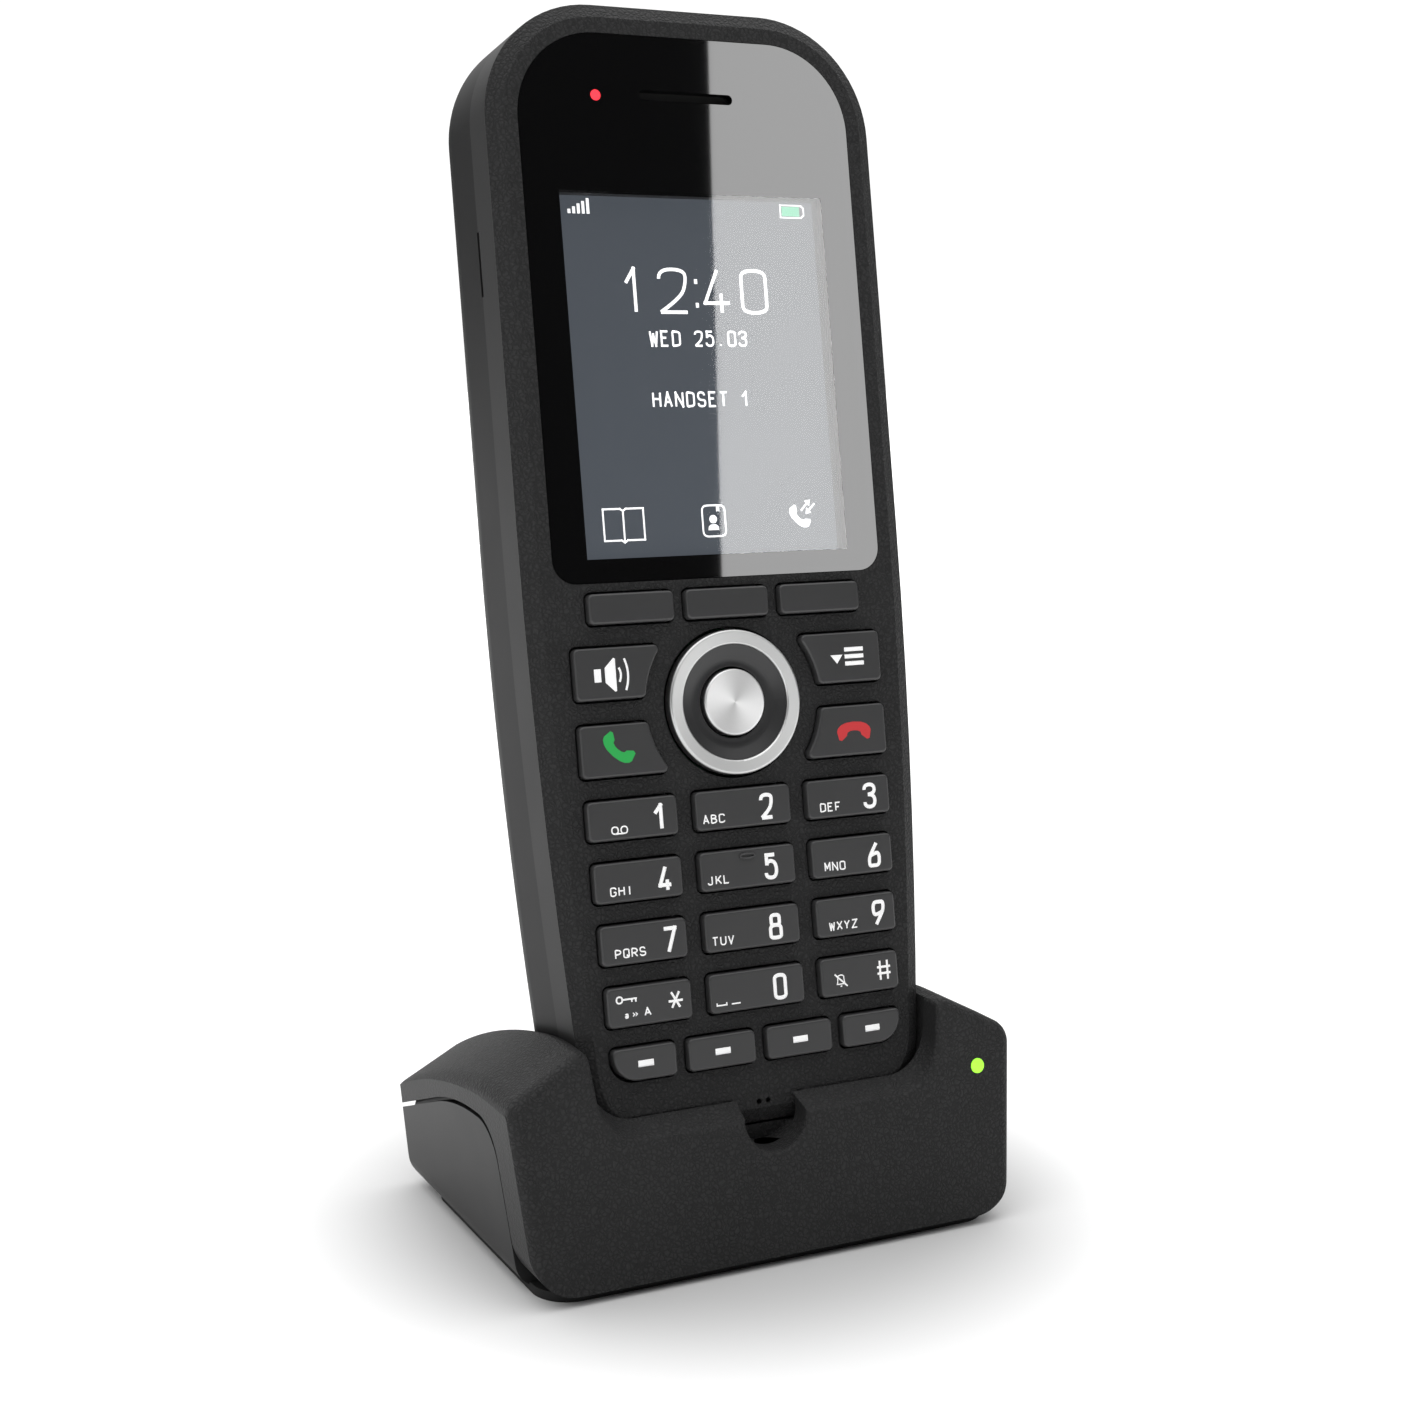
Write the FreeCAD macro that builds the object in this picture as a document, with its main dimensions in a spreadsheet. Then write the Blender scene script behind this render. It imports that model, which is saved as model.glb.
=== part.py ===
"""Cordless telephone standing in its charging base, millimetres, +Z up.

The base stands on z = 0 with its front towards -Y, and the handset leans back in it. Handset pieces are
drawn upright in the handset's own frame (x across, y into the case from its front face, z along its length)
and are placed in the cradle last. Base pieces are drawn with y = 0 under the foot of the handset's face.
"""
import FreeCAD, Part
import Sketcher
import math
import os

doc = FreeCAD.newDocument("CordlessPhone")
V = FreeCAD.Vector
TINY = 1e-4

SIZES = {
    # how the handset stands in the base
    "lean": 10, "seat_y": -18.45, "seat_z": 11.1, "seat_gap": 0.3, "face_gap": 0.4,
    # handset case
    "case_half": 25, "case_top": 136.2, "crown_radius": 14, "waist_z": 43.7, "waist_radius": 744,
    "toe_half": 21.69, "toe_z": 4.4, "toe_radius": 8, "seam_depth": 6.2, "bevel_wide": 1.8,
    "bevel_deep": 1.2, "case_wall": 1.6, "face_wall": 1.8, "back_apex": 20.55, "back_side": 17.95,
    "back_radius": 150, "back_round": 6,
    # display, light and earpiece
    "glass_half": 21.4, "glass_low": 69, "glass_top": 132.54, "glass_thick": 1.1, "glass_round": 10.3,
    "glass_foot": 2.8, "glass_gap": 0.08, "screen_half": 17.1, "screen_low": 71.7, "screen_top": 114.2,
    "screen_depth": 2.3, "module_thick": 2.6, "window_rim": 1.9, "gasket_wide": 1.1,
    "module_edge": 1.3,
    "lamp_x": -11.6, "lamp_z": 125.35, "lamp_r": 0.62, "ear_z": 125.6, "ear_half": 6.1, "ear_high": 1.2,
    # keys
    "key_proud": 0.9, "key_back": 2.2, "key_gap": 0.27, "key_corner": 0.6, "key_edge": 0.32,
    "row_pitch": 7.13, "key_high": 4.6, "row_first_z": 20.32, "middle_half": 6.24,
    "side_inner": 8.58, "side_outer": 19.85, "side_taper": 0.21,
    "soft_low": 64.17, "soft_high": 3.53, "soft_middle": 5.38, "soft_inner": 7, "soft_outer": 17.73,
    "wing_outer": 20.05, "wing_inner": 8, "speaker_low": 55.5, "call_low": 46.65, "wing_high": 6.05,
    "wing_curve": 11.5, "menu_low": 11.75, "menu_high": 3.85, "menu_inner": 0.78, "menu_wide": 8.72,
    "menu_step": 10.25, "menu_round": 3, "menu_outer_wide": 7.97,
    # round pad between the wing keys
    "pad_z": 54.17, "pad_hole": 8.95, "trim_outer": 8.57, "trim_inner": 6.82, "trim_proud": 1.1,
    "disc_r": 3.96, "disc_hole": 4.22, "disc_proud": 0.75,
    # battery and what is inside the handset
    "cover_low": 22.5, "cover_top": 75, "cover_depth": 14.2, "cover_gap": 0.15, "bay_floor": 10.3,
    "bay_wall": 1, "pack_half": 17, "pack_low": 24, "pack_top": 72.6, "pack_front": 11.5,
    "pack_back": 16.9, "board_depth": 5, "board_thick": 1, "board_inset": 2.4, "mat_depth": 3.1,
    "mat_thick": 0.8, "post_wide_x": 20.4, "post_wide_z": 79, "post_low_x": 18, "post_low_z": 14,
    "post_small_r": 2.2, "ringer_z": 98, "ringer_r": 9, "contact_x": 6, "contact_y": 11,
    "contact_wide": 3.6,
    # base
    "base_low": 0.45, "front_low_y": -5.18, "front_low_z": 1.07, "base_back": 39.4, "sky": 45,
    "base_half": 31.1, "flare": 0.095, "shoulder_z": 22.9, "shoulder_r": 3, "crest_x": 24.2,
    "crest_z": 27.7, "crest_r": 1, "dish_x": 17, "dish_z": 24.6, "dish_r": 4, "base_corner": 5.5,
    "tub_corner": 3, "base_back_round": 3.5, "edge_round": 1.4, "front_wall": 3, "base_wall": 2,
    "cup_wall": 1.8, "drop_start": 4, "drop_radius": 35, "drop_slope": 0.2, "fall_radius": 120,
    "panel_front": 0.9, "panel_slope": 0.19, "panel_corner_z": 19.3, "panel_round": 5,
    "panel_peak_y": 17.5, "panel_peak_z": 18.7, "panel_bow": 50, "panel_fall": 0.37,
    "panel_gap": 0.55, "panel_front_gap": 0.16, "sill_z": 17.05, "sill_half": 21.7, "sill_spread": 25.6,
    "sill_r": 5.5, "sill_y": -2.4, "sill_rise": 25, "sill_front": 7, "sill_reach": 9, "sill_edge": 0.6,
    "notch_r": 4, "lamp_base_x": 27.9, "lamp_base_s": 18.3, "lamp_base_r": 0.9, "pad_thick": 1.1,
    "pad_half": 29.7,
    "pad_front": -3.8, "pad_rear": 35.4, "pad_round": 4.5, "floor_top": 2.9, "post_x": 27,
    "post_front": 9, "post_rear": 31, "post_r": 2.5, "post_join": 8, "screw_r": 1.1,
    # the lip behind the seam of the base
    "lip_play": 0.15, "lip_thick": 1, "lip_high": 0.9, "lip_root": 1.2, "lip_from": 20,
    # what is inside the base
    "jack_z": 6.3, "jack_half": 3, "jack_hole": 2.6, "jack_bore": 1.85, "jack_wide": 4,
    "jack_long": 10, "prong_r": 0.6, "ballast_half": 20, "ballast_front": 4, "ballast_rear": 21,
    "ballast_high": 2.2, "plate_half": 19, "plate_front": 24.5, "plate_rear": 36.8,
    # charging pins and their guide
    "pin_r": 0.9, "pin_gap": 0.15, "stem_r": 0.6, "stem_foot": -2.6, "collar_r": 1.4, "collar_low": 1,
    "collar_high": 1.6, "guide_half": 9.5, "guide_low": -3.4, "guide_high": 2.2, "guide_bore": 1.6,
    "guide_stem": 0.75,
}


def make_sheet():
    sheet = doc.addObject("Spreadsheet::Sheet", "dims")
    for row, (name, size) in enumerate(SIZES.items(), start=1):
        sheet.set("A%d" % row, name)
        sheet.set("B%d" % row, str(size))
        sheet.setAlias("B%d" % row, name)
    doc.recompute()
    return sheet


dims = make_sheet()


def bound(text):
    """Turn plain size names in an expression into references to the sheet."""
    words = str(text).replace("(", " ( ").replace(")", " ) ").split()
    return " ".join("dims." + word if word in SIZES else word for word in words)


def value(text):
    return float(dims.evalExpression(bound(text)))


def drive(thing, **sizes):
    """Bind properties to expressions of the sheet's sizes."""
    for name, text in sizes.items():
        thing.setExpression(name, bound(text))
    return thing


# ---- sketches -------------------------------------------------------------------------------------------
PLANES = {
    "plan": FreeCAD.Rotation(),
    "front": FreeCAD.Rotation(V(1, 0, 0), 90),
    "side": FreeCAD.Rotation(V(1, 1, 1), 120),
}
THROUGH = {"plan": V(0, 0, 1), "front": V(0, 1, 0), "side": V(1, 0, 0)}


def corner_arc(before, at, after, radius):
    """Where a round corner starts and ends, its centre, and whether it turns left."""
    back = (before - at).normalize()
    ahead = (after - at).normalize()
    half = back.getAngle(ahead) / 2
    reach = radius / math.tan(half)
    centre = at + (back + ahead).normalize() * (radius / math.sin(half))
    turns_left = (at - before).cross(after - at).z > 0
    return at + back * reach, at + ahead * reach, centre, turns_left


def draw_outline(sketch, corners):
    """Closed outline through corners given as (x, y, radius) expressions, each corner rounded if asked."""
    points = [V(value(x), value(y), 0) for x, y, _ in corners]
    count = len(points)
    starts, ends, arcs = {}, {}, {}
    for i, (_, _, radius) in enumerate(corners):
        ends[i] = starts[i] = points[i]
        if radius:
            near, far, centre, left = corner_arc(points[i - 1], points[i], points[(i + 1) % count],
                                                 value(radius))
            ends[i], starts[i], arcs[i] = near, far, (centre, left)
    lines = [sketch.addGeometry(Part.LineSegment(starts[i], ends[(i + 1) % count]))
             for i in range(count)]
    for i, (x, y, radius) in enumerate(corners):
        coming, going = lines[i - 1], lines[i]
        mark = sketch.addGeometry(Part.Point(points[i]), True)
        pin_down(sketch, mark, x, y)
        if i in arcs:
            join_by_arc(sketch, coming, going, mark, arcs[i], ends[i], starts[i], radius)
        else:
            sketch.addConstraint(Sketcher.Constraint("Coincident", coming, 2, mark, 1))
            sketch.addConstraint(Sketcher.Constraint("Coincident", going, 1, mark, 1))


def pin_down(sketch, mark, x, y):
    for kind, text in (("DistanceX", x), ("DistanceY", y)):
        index = sketch.addConstraint(Sketcher.Constraint(kind, -1, 1, mark, 1, value(text)))
        sketch.setExpression("Constraints[%d]" % index, bound(text))


def join_by_arc(sketch, coming, going, mark, arc, near, far, radius):
    centre, left = arc
    first, last = (near, far) if left else (far, near)
    angles = [math.atan2(p.y - centre.y, p.x - centre.x) for p in (first, last)]
    if angles[1] < angles[0]:
        angles[1] += 2 * math.pi
    circle = Part.Circle(centre, V(0, 0, 1), value(radius))
    index = sketch.addGeometry(Part.ArcOfCircle(circle, angles[0], angles[1]))
    sketch.addConstraint(Sketcher.Constraint("PointOnObject", mark, 1, coming))
    sketch.addConstraint(Sketcher.Constraint("PointOnObject", mark, 1, going))
    sketch.addConstraint(Sketcher.Constraint("Tangent", coming, 2, index, 1 if left else 2))
    sketch.addConstraint(Sketcher.Constraint("Tangent", going, 1, index, 2 if left else 1))
    size = sketch.addConstraint(Sketcher.Constraint("Radius", index, value(radius)))
    sketch.setExpression("Constraints[%d]" % size, bound(radius))


def outline(name, plane, corners, both_sides=False):
    """A free-standing sketch; with both_sides the corners are the right half, from the bottom up."""
    if both_sides:
        corners = corners + [("- ( %s )" % x, y, r) for x, y, r in reversed(corners)]
    sketch = doc.addObject("Sketcher::SketchObject", name)
    sketch.Placement = FreeCAD.Placement(V(0, 0, 0), PLANES[plane])
    draw_outline(sketch, corners)
    sketch.addProperty("App::PropertyString", "Facing")
    sketch.Facing = plane
    return sketch


# ---- solids ---------------------------------------------------------------------------------------------
def inset(name, sketch, by):
    """The same outline drawn in by a distance, or out if it is negative."""
    if by == "0":
        return sketch
    ring = doc.addObject("Part::Offset2D", name)
    ring.Source = sketch
    ring.addProperty("App::PropertyString", "Facing")
    ring.Facing = sketch.Facing
    return drive(ring, Value="- ( %s )" % by)


def prism(name, sketch, start, stop):
    solid = doc.addObject("Part::Extrusion", name)
    solid.Base = sketch
    solid.DirMode = "Custom"
    solid.Dir = THROUGH[sketch.Facing]
    solid.Solid = True
    return drive(solid, LengthFwd=stop, LengthRev="- ( %s )" % start)


def block(name, x, y, z):
    """A box between pairs of limits."""
    box = doc.addObject("Part::Box", name)
    for axis, size, (low, high) in zip("xyz", ("Length", "Width", "Height"), (x, y, z)):
        drive(box, **{"Placement.Base." + axis: low, size: "( %s ) - ( %s )" % (high, low)})
    return box


TURN = {"x": FreeCAD.Rotation(V(0, 1, 0), 90), "y": FreeCAD.Rotation(V(1, 0, 0), -90),
        "z": FreeCAD.Rotation()}


def rod(name, along, start, radius, length):
    """A cylinder from a start point along one axis."""
    solid = doc.addObject("Part::Cylinder", name)
    solid.Placement = FreeCAD.Placement(V(0, 0, 0), TURN[along])
    for axis, text in zip("xyz", start):
        drive(solid, **{"Placement.Base." + axis: text})
    return drive(solid, Radius=radius, Height=length)


def cut(name, base, *tools):
    """Cut tools away one after another."""
    for tool in tools:
        result = doc.addObject("Part::Cut", name)
        result.Base = base
        result.Tool = tool
        base = result
    return result


def group(name, *members):
    result = doc.addObject("Part::Compound", name)
    result.Links = list(members)
    return result


def fuse(name, *members):
    result = doc.addObject("Part::MultiFuse", name)
    result.Shapes = list(members)
    result.Refine = True
    return result


def common(name, *members):
    result = doc.addObject("Part::MultiCommon", name)
    result.Shapes = list(members)
    return result


def edges_where(thing, test):
    doc.recompute()
    return [i for i, edge in enumerate(thing.Shape.Edges, start=1) if test(edge)]


def lies_at(axis, text):
    """Test for edges that lie wholly in a plane across an axis."""
    place = value(text)
    low, high = axis.upper() + "Min", axis.upper() + "Max"
    return lambda edge: (abs(getattr(edge.BoundBox, low) - place) < 0.02
                         and abs(getattr(edge.BoundBox, high) - place) < 0.02)


def runs_along(axis):
    """Test for straight edges along an axis."""
    def test(edge):
        if edge.Curve.TypeId != "Part::GeomLine":
            return False
        return abs(getattr(edge.tangentAt(edge.FirstParameter), axis)) > 1 - TINY
    return test


def rounded(name, base, radius, test):
    result = doc.addObject("Part::Fillet", name)
    result.Base = base
    size = value(radius)
    result.Edges = [(i, size, size) for i in edges_where(base, test)]
    return result


def origin_sketch(body, role, name, shift=0):
    """A sketch on one of a body's own planes, moved along that plane's normal."""
    sketch = body.newObject("Sketcher::SketchObject", name)
    plane = [item for item in body.Origin.OriginFeatures if item.Role == role][0]
    sketch.AttachmentSupport = [(plane, "")]
    sketch.MapMode = "FlatFace"
    sketch.AttachmentOffset = FreeCAD.Placement(V(0, 0, shift), FreeCAD.Rotation())
    doc.recompute()
    return sketch


def turned(name, corners, place):
    """A body revolved about its own Z from a profile of (radius, height) corners."""
    body = doc.addObject("PartDesign::Body", name)
    sketch = origin_sketch(body, "XZ_Plane", name + "_profile")
    draw_outline(sketch, corners)
    doc.recompute()
    spin = body.newObject("PartDesign::Revolution", name + "_turn")
    spin.Profile = sketch
    spin.ReferenceAxis = (sketch, ["V_Axis"])
    spin.Angle = 360
    body.Placement = place
    return body


# ---- where the finished pieces go -----------------------------------------------------------------------
LEAN = FreeCAD.Rotation(V(-1, 0, 0), value("lean"))
HANDSET = FreeCAD.Placement(V(0, value("seat_y"), value("seat_z")), LEAN)
BASE = FreeCAD.Placement(V(0, value("seat_y"), 0), FreeCAD.Rotation())
NODES = []


def finished(name, solid, where):
    """Give a finished piece its name and its place; a primitive's own place stays bound to the sheet."""
    if solid.TypeId in ("Part::Box", "Part::Cylinder"):
        solid = group(name + "_piece", solid)
    solid.Label = name
    solid.Placement = where.multiply(solid.Placement)
    NODES.append(solid)
    return solid


def at(x, y, z, facing=FreeCAD.Rotation()):
    return FreeCAD.Placement(V(value(x), value(y), value(z)), facing)


OUT_OF_FACE = FreeCAD.Rotation(V(1, 0, 0), 90)


# ---- handset case ---------------------------------------------------------------------------------------
def case_outline(name, depth="0"):
    sketch = outline(name, "front", [
        ("toe_half", "toe_z", "toe_radius"),
        ("case_half", "waist_z", "waist_radius"),
        ("case_half", "case_top", "crown_radius"),
    ], both_sides=True)
    return drive(sketch, **{"Placement.Base.y": depth})


case = case_outline("case_outline")


def bevelled_plate():
    """The front shell's outside: a sloping rim round the face, then a straight band to the seam."""
    rim = doc.addObject("Part::Loft", "front_rim")
    rim.Sections = [inset("face_edge", case, "bevel_wide"), case_outline("rim_edge", "bevel_deep")]
    rim.Solid = True
    rim.Ruled = True
    return fuse("front_plate", rim, prism("front_band", case, "bevel_deep", "seam_depth"))


def side_slot():
    """Narrow slot on the seam of the left side, a start for prising the shells apart."""
    return block("side_slot", ("- case_half - 1", "- case_half + 0.7"),
                 ("seam_depth - 0.3", "seam_depth + 0.3"), (103, 110.5))


def glass_outline():
    return outline("glass_outline", "front", [
        ("glass_half", "glass_low", "glass_foot"),
        ("glass_half", "glass_top", "glass_round"),
    ], both_sides=True)


glass = glass_outline()


def ear_opening(name, grow, start, stop):
    """A slot with round ends for the ear, cut or filled between two depths."""
    half = "ear_high / 2 + " + grow
    slot = outline(name + "_outline", "front", [
        ("ear_half + " + grow, "ear_z - ( %s )" % half, "( %s ) * 0.98" % half),
        ("ear_half + " + grow, "ear_z + %s" % half, "( %s ) * 0.98" % half),
    ], both_sides=True)
    return prism(name, slot, start, stop)


def front_housing(key_holes):
    hollow = prism("front_hollow", inset("front_wall_line", case, "case_wall"), "face_wall",
                   "seam_depth + 1")
    recess = prism("glass_recess", inset("glass_recess_line", glass, "- glass_gap"), "-1",
                   "glass_thick + 0.02")
    window = block("screen_window", ("- screen_half - window_rim", "screen_half + window_rim"),
                   ("0", "face_wall + 1"), ("screen_low - window_rim", "screen_top + window_rim"))
    pad_hole = rod("pad_hole", "y", ("0", "-1", "pad_z"), "pad_hole", "face_wall + 2")
    mouth = [rod("mouth_hole", "y", (x, "-1", 6.95), 0.33, "face_wall + 2") for x in (-0.5, 0.7)]
    lamp = rod("lamp_hole_front", "y", ("lamp_x", "0", "lamp_z"), "lamp_r + 0.05", "face_wall + 1")
    ear = ear_opening("ear_hole_front", "0.2", "0", "face_wall + 1")
    return finished("front_housing", cut("front_shell", bevelled_plate(), hollow, recess, window,
                                         pad_hole, lamp, ear, side_slot(), *mouth, key_holes), HANDSET)


def back_form(name, by):
    """The rear half of the case as a solid, drawn in by a wall: crowned, with a round rim."""
    plan = outline(name + "_crown", "plan", [
        ("case_half + 1", "0", None),
        ("case_half + 1", "back_side - " + by, None),
        ("0", "back_apex - " + by, "back_radius"),
        ("- case_half - 1", "back_side - " + by, None),
        ("- case_half - 1", "0", None),
    ])
    upright = prism(name + "_upright", plan, "0", "case_top + 1")
    walls = prism(name + "_walls", inset(name + "_line", case, by), "seam_depth - ( %s )" % by,
                  "back_apex + 1")
    crowned = common(name + "_crowned", upright, walls)
    deep = value("back_side - 2 - " + by)

    def on_rim(edge):
        box = edge.BoundBox
        along_crown = box.ZLength > 50 and abs(box.XMax) < 20
        return box.YMin > deep and not along_crown
    return rounded(name, crowned, "back_round - " + by, on_rim)


back_outside = back_form("back_outside", "0")
back_inside = back_form("back_inside", "case_wall")


def board_posts(name, start, radius, length):
    places = [(side + "post_wide_x", "post_wide_z") for side in ("", "- ")]
    places += [(side + "post_low_x", "post_low_z") for side in ("", "- ")]
    return [rod(name, "y", (x, start, z), radius, length) for x, z in places]


def rear_housing():
    floor = block("bay_plate", ("- case_half", "case_half"), ("bay_floor", "bay_floor + bay_wall"),
                  ("cover_low - 1.3", "cover_top + 1.3"))
    ends = [block("bay_end", ("- case_half", "case_half"), ("bay_floor", "back_apex"), limits)
            for limits in (("cover_low - 1.3", "cover_low - cover_gap"),
                           ("cover_top + cover_gap", "cover_top + 1.3"))]
    posts = board_posts("board_post", "board_depth + board_thick", "post_small_r", "back_apex")
    cavity = cut("back_cavity", back_inside, floor, *ends, *posts)
    mouth = block("bay_mouth", ("- case_half - 1", "case_half + 1"),
                  ("cover_depth - cover_gap", "back_apex + 1"),
                  ("cover_low - cover_gap", "cover_top + cover_gap"))
    slits = [block("sound_slit", (-7, 7), ("back_side - 4", "back_apex + 1"),
                   ("ringer_z + %s - 0.6" % step, "ringer_z + %s + 0.6" % step)) for step in (-3, 0, 3)]
    pads = [block("pad_seat", (side + "contact_x - contact_wide / 2", side + "contact_x + contact_wide / 2"),
                  ("contact_y - 2", "contact_y + 2"), ("toe_z - 1", "toe_z + case_wall + 1"))
            for side in ("", "- ")]
    holes = board_posts("screw_hole", "board_depth", 0.8, 7)
    return finished("rear_housing", cut("back_shell", back_outside, cavity, mouth, side_slot(),
                                        *slits, *pads, *holes), HANDSET)


def battery_cover():
    skin = cut("cover_skin", back_outside, back_inside)
    panel = block("cover_limits", ("- case_half - 1", "case_half + 1"), ("cover_depth", "back_apex + 1"),
                  ("cover_low", "cover_top"))
    return finished("battery_cover", common("cover_panel", skin, panel), HANDSET)


# ---- keys -----------------------------------------------------------------------------------------------
def key_places():
    """Every rectangular key as (x limits, z limits), named by what it does."""
    keys = {}
    top = "soft_low + soft_high"
    keys["soft_left"] = (("- soft_outer", "- soft_inner"), ("soft_low", top))
    keys["soft_middle"] = (("- soft_middle", "soft_middle"), ("soft_low", top))
    keys["soft_right"] = (("soft_inner", "soft_outer"), ("soft_low", top))
    digits = ["star", "0", "hash", "7", "8", "9", "4", "5", "6", "1", "2", "3"]
    for i, digit in enumerate(digits):
        row, column = divmod(i, 3)
        middle = "row_first_z + %d * row_pitch" % row
        outer = "side_outer - side_taper * %d" % (3 - row)
        across = [("- ( %s )" % outer, "- side_inner"), ("- middle_half", "middle_half"),
                  ("side_inner", outer)][column]
        keys[digit] = (across, (middle + " - key_high / 2", middle + " + key_high / 2"))
    inner, wide = "menu_inner", "menu_wide"
    reach = "menu_inner + menu_step"
    high = ("menu_low", "menu_low + menu_high")
    keys["left_outer"] = (("- ( %s ) - menu_outer_wide" % reach, "- ( %s )" % reach), high)
    keys["left_inner"] = (("- %s - %s" % (inner, wide), "- " + inner), high)
    keys["right_inner"] = ((inner, "%s + %s" % (inner, wide)), high)
    keys["right_outer"] = ((reach, reach + " + menu_outer_wide"), high)
    return keys


WING_KEYS = {
    "speaker": (("- wing_outer", "- wing_inner"), ("speaker_low", "speaker_low + wing_high")),
    "menu": (("wing_inner", "wing_outer"), ("speaker_low", "speaker_low + wing_high")),
    "call": (("- wing_outer", "- wing_inner"), ("call_low", "call_low + wing_high")),
    "end": (("wing_inner", "wing_outer"), ("call_low", "call_low + wing_high")),
}


def key_block(name, across, along, depths, grow):
    """A key's plan between two depths, grown all round, with its upright corners rounded."""
    limits = [("( %s ) - %s" % (low, grow), "( %s ) + %s" % (high, grow)) for low, high in (across, along)]
    body = block(name, limits[0], depths, limits[1])
    if name.split("_key_")[-1] in WING_KEYS:
        bite = rod(name + "_bite", "y", ("0", "-3", "pad_z"), "wing_curve - " + grow, 9)
        body = cut(name + "_bitten", body, bite)
    corners = rounded(name + "_corners", body, "key_corner + " + grow, runs_along("y"))
    if name.endswith("outer"):
        widen_outer_corner(corners, name)
    return corners


def widen_outer_corner(corners, name):
    """The two end keys of the lowest row follow the round foot of the face."""
    side = -1 if "left" in name else 1
    edges = corners.Base.Shape.Edges
    picked = min(corners.Edges, key=lambda item: edges[item[0] - 1].CenterOfMass.z
                 - side * edges[item[0] - 1].CenterOfMass.x)
    wide = value("menu_round")
    corners.Edges = [(i, wide, wide) if i == picked[0] else (i, a, b) for i, a, b in corners.Edges]


def make_keys():
    """Every key cap as its own node; returns the holes they move in."""
    holes = []
    for name, (across, along) in {**key_places(), **WING_KEYS}.items():
        cap = key_block("cap_key_" + name, across, along, ("- key_proud", "key_back"), "0")
        soft = rounded("key_" + name, cap, "key_edge", lies_at("y", "- key_proud"))
        finished("key_" + name, soft, HANDSET)
        holes.append(key_block("hole_key_" + name, across, along, ("-1.5", "face_wall + 1"), "key_gap"))
    return group("key_holes", *holes)


# ---- round pad ------------------------------------------------------------------------------------------
def pad_place():
    return HANDSET.multiply(at("0", "0", "pad_z", OUT_OF_FACE))


def round_pad():
    """Silver trim on a dark dished rocker, a silver button through its middle, and what they tilt on."""
    where = pad_place()
    turned("pad_trim", [("trim_inner", "-0.4", None), ("trim_outer", "-0.4", None),
                        ("trim_outer", "trim_proud", 0.35), ("trim_inner", "trim_proud - 0.1", 0.25)],
           where)
    turned("pad_rocker", [("disc_hole", "-1.2", None), ("trim_outer - 0.2", "-1.2", None),
                          ("trim_outer - 0.2", "-0.4", None), ("trim_inner - 0.02", "-0.4", None),
                          ("trim_inner - 0.02", "trim_proud - 0.35", None),
                          ("disc_hole + 0.9", "0.05", 2), ("disc_hole", "0.05", 0.1)], where)
    turned("pad_pivot", [("disc_hole", "-2.9", None), ("trim_inner", "-2.9", None),
                         ("trim_inner", "-1.6", 0.3), ("disc_hole", "-1.6", 0.3)], where)
    turned("key_ok", [("0", "-2.3", None), (1.6, "-2.3", None), (1.6, "-1", None),
                      ("disc_r", "-1", None), ("disc_r", "disc_proud", 0.3), ("0", "disc_proud", None)],
           where)
    for name in ("pad_trim", "pad_rocker", "pad_pivot", "key_ok"):
        NODES.append(doc.getObject(name))


# ---- display and what is inside the handset -------------------------------------------------------------
def front_parts():
    lamp_hole = rod("lamp_hole", "y", ("lamp_x", "-1", "lamp_z"), "lamp_r + 0.02", 4)
    pane = prism("glass_pane", glass, "0", "glass_thick")
    finished("display_glass", cut("glass_cut", pane, lamp_hole, ear_opening("ear_slot", "0", "-1", "3")),
             HANDSET)
    lens = rod("lamp_lens", "y", ("lamp_x", "0.02", "lamp_z"), "lamp_r", 3.4)
    finished("status_lens", lens, HANDSET)
    finished("earpiece_mesh", ear_opening("ear_mesh", "1", "face_wall", "face_wall + 0.3"), HANDSET)
    finished("earpiece", rod("ear_capsule", "y", ("0", "face_wall + 0.35", "ear_z"), 5.2, 2.6), HANDSET)
    finished("microphone", rod("mouth_capsule", "y", ("0.1", "face_wall", 8.45), 2, 1.8), HANDSET)


def screen():
    across = ("- screen_half - module_edge", "screen_half + module_edge")
    along = ("screen_low - module_edge", "screen_top + module_edge")
    ring = block("gasket_outer", ("- screen_half - gasket_wide", "screen_half + gasket_wide"),
                 ("glass_thick", "screen_depth"), ("screen_low - gasket_wide", "screen_top + gasket_wide"))
    light = block("gasket_inner", ("- screen_half", "screen_half"), ("0", "screen_depth + 1"),
                  ("screen_low", "screen_top"))
    finished("display_gasket", cut("gasket_ring", ring, light), HANDSET)
    finished("display_module", block("module_block", across,
                                     ("screen_depth", "screen_depth + module_thick"), along), HANDSET)


def mat_and_board():
    span = block("mat_span", ("- case_half", "case_half"), ("0", "board_depth"), ("10.7", "68.3"))
    sheet = prism("mat_sheet", inset("mat_line", case, "case_wall + 0.4"), "mat_depth",
                  "mat_depth + mat_thick")
    middle = rod("mat_hole", "y", ("0", "0", "pad_z"), "pad_hole", 8)
    finished("keypad_mat", cut("mat_cut", common("mat_trimmed", sheet, span), middle), HANDSET)
    plate = prism("board_plate", inset("board_line", case, "board_inset"), "board_depth",
                  "board_depth + board_thick")
    finished("main_board", cut("board_cut", plate, *board_posts("board_hole", "0", 1, 9)), HANDSET)
    heads = board_posts("screw_head", "board_depth - 0.9", 1.6, 0.9)
    shanks = board_posts("screw_shank", "board_depth - 0.5", 0.8, 6.5)
    screws = [fuse("board_screw", head, shank) for head, shank in zip(heads, shanks)]
    finished("board_screws", group("board_screw_set", *screws), HANDSET)


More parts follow.
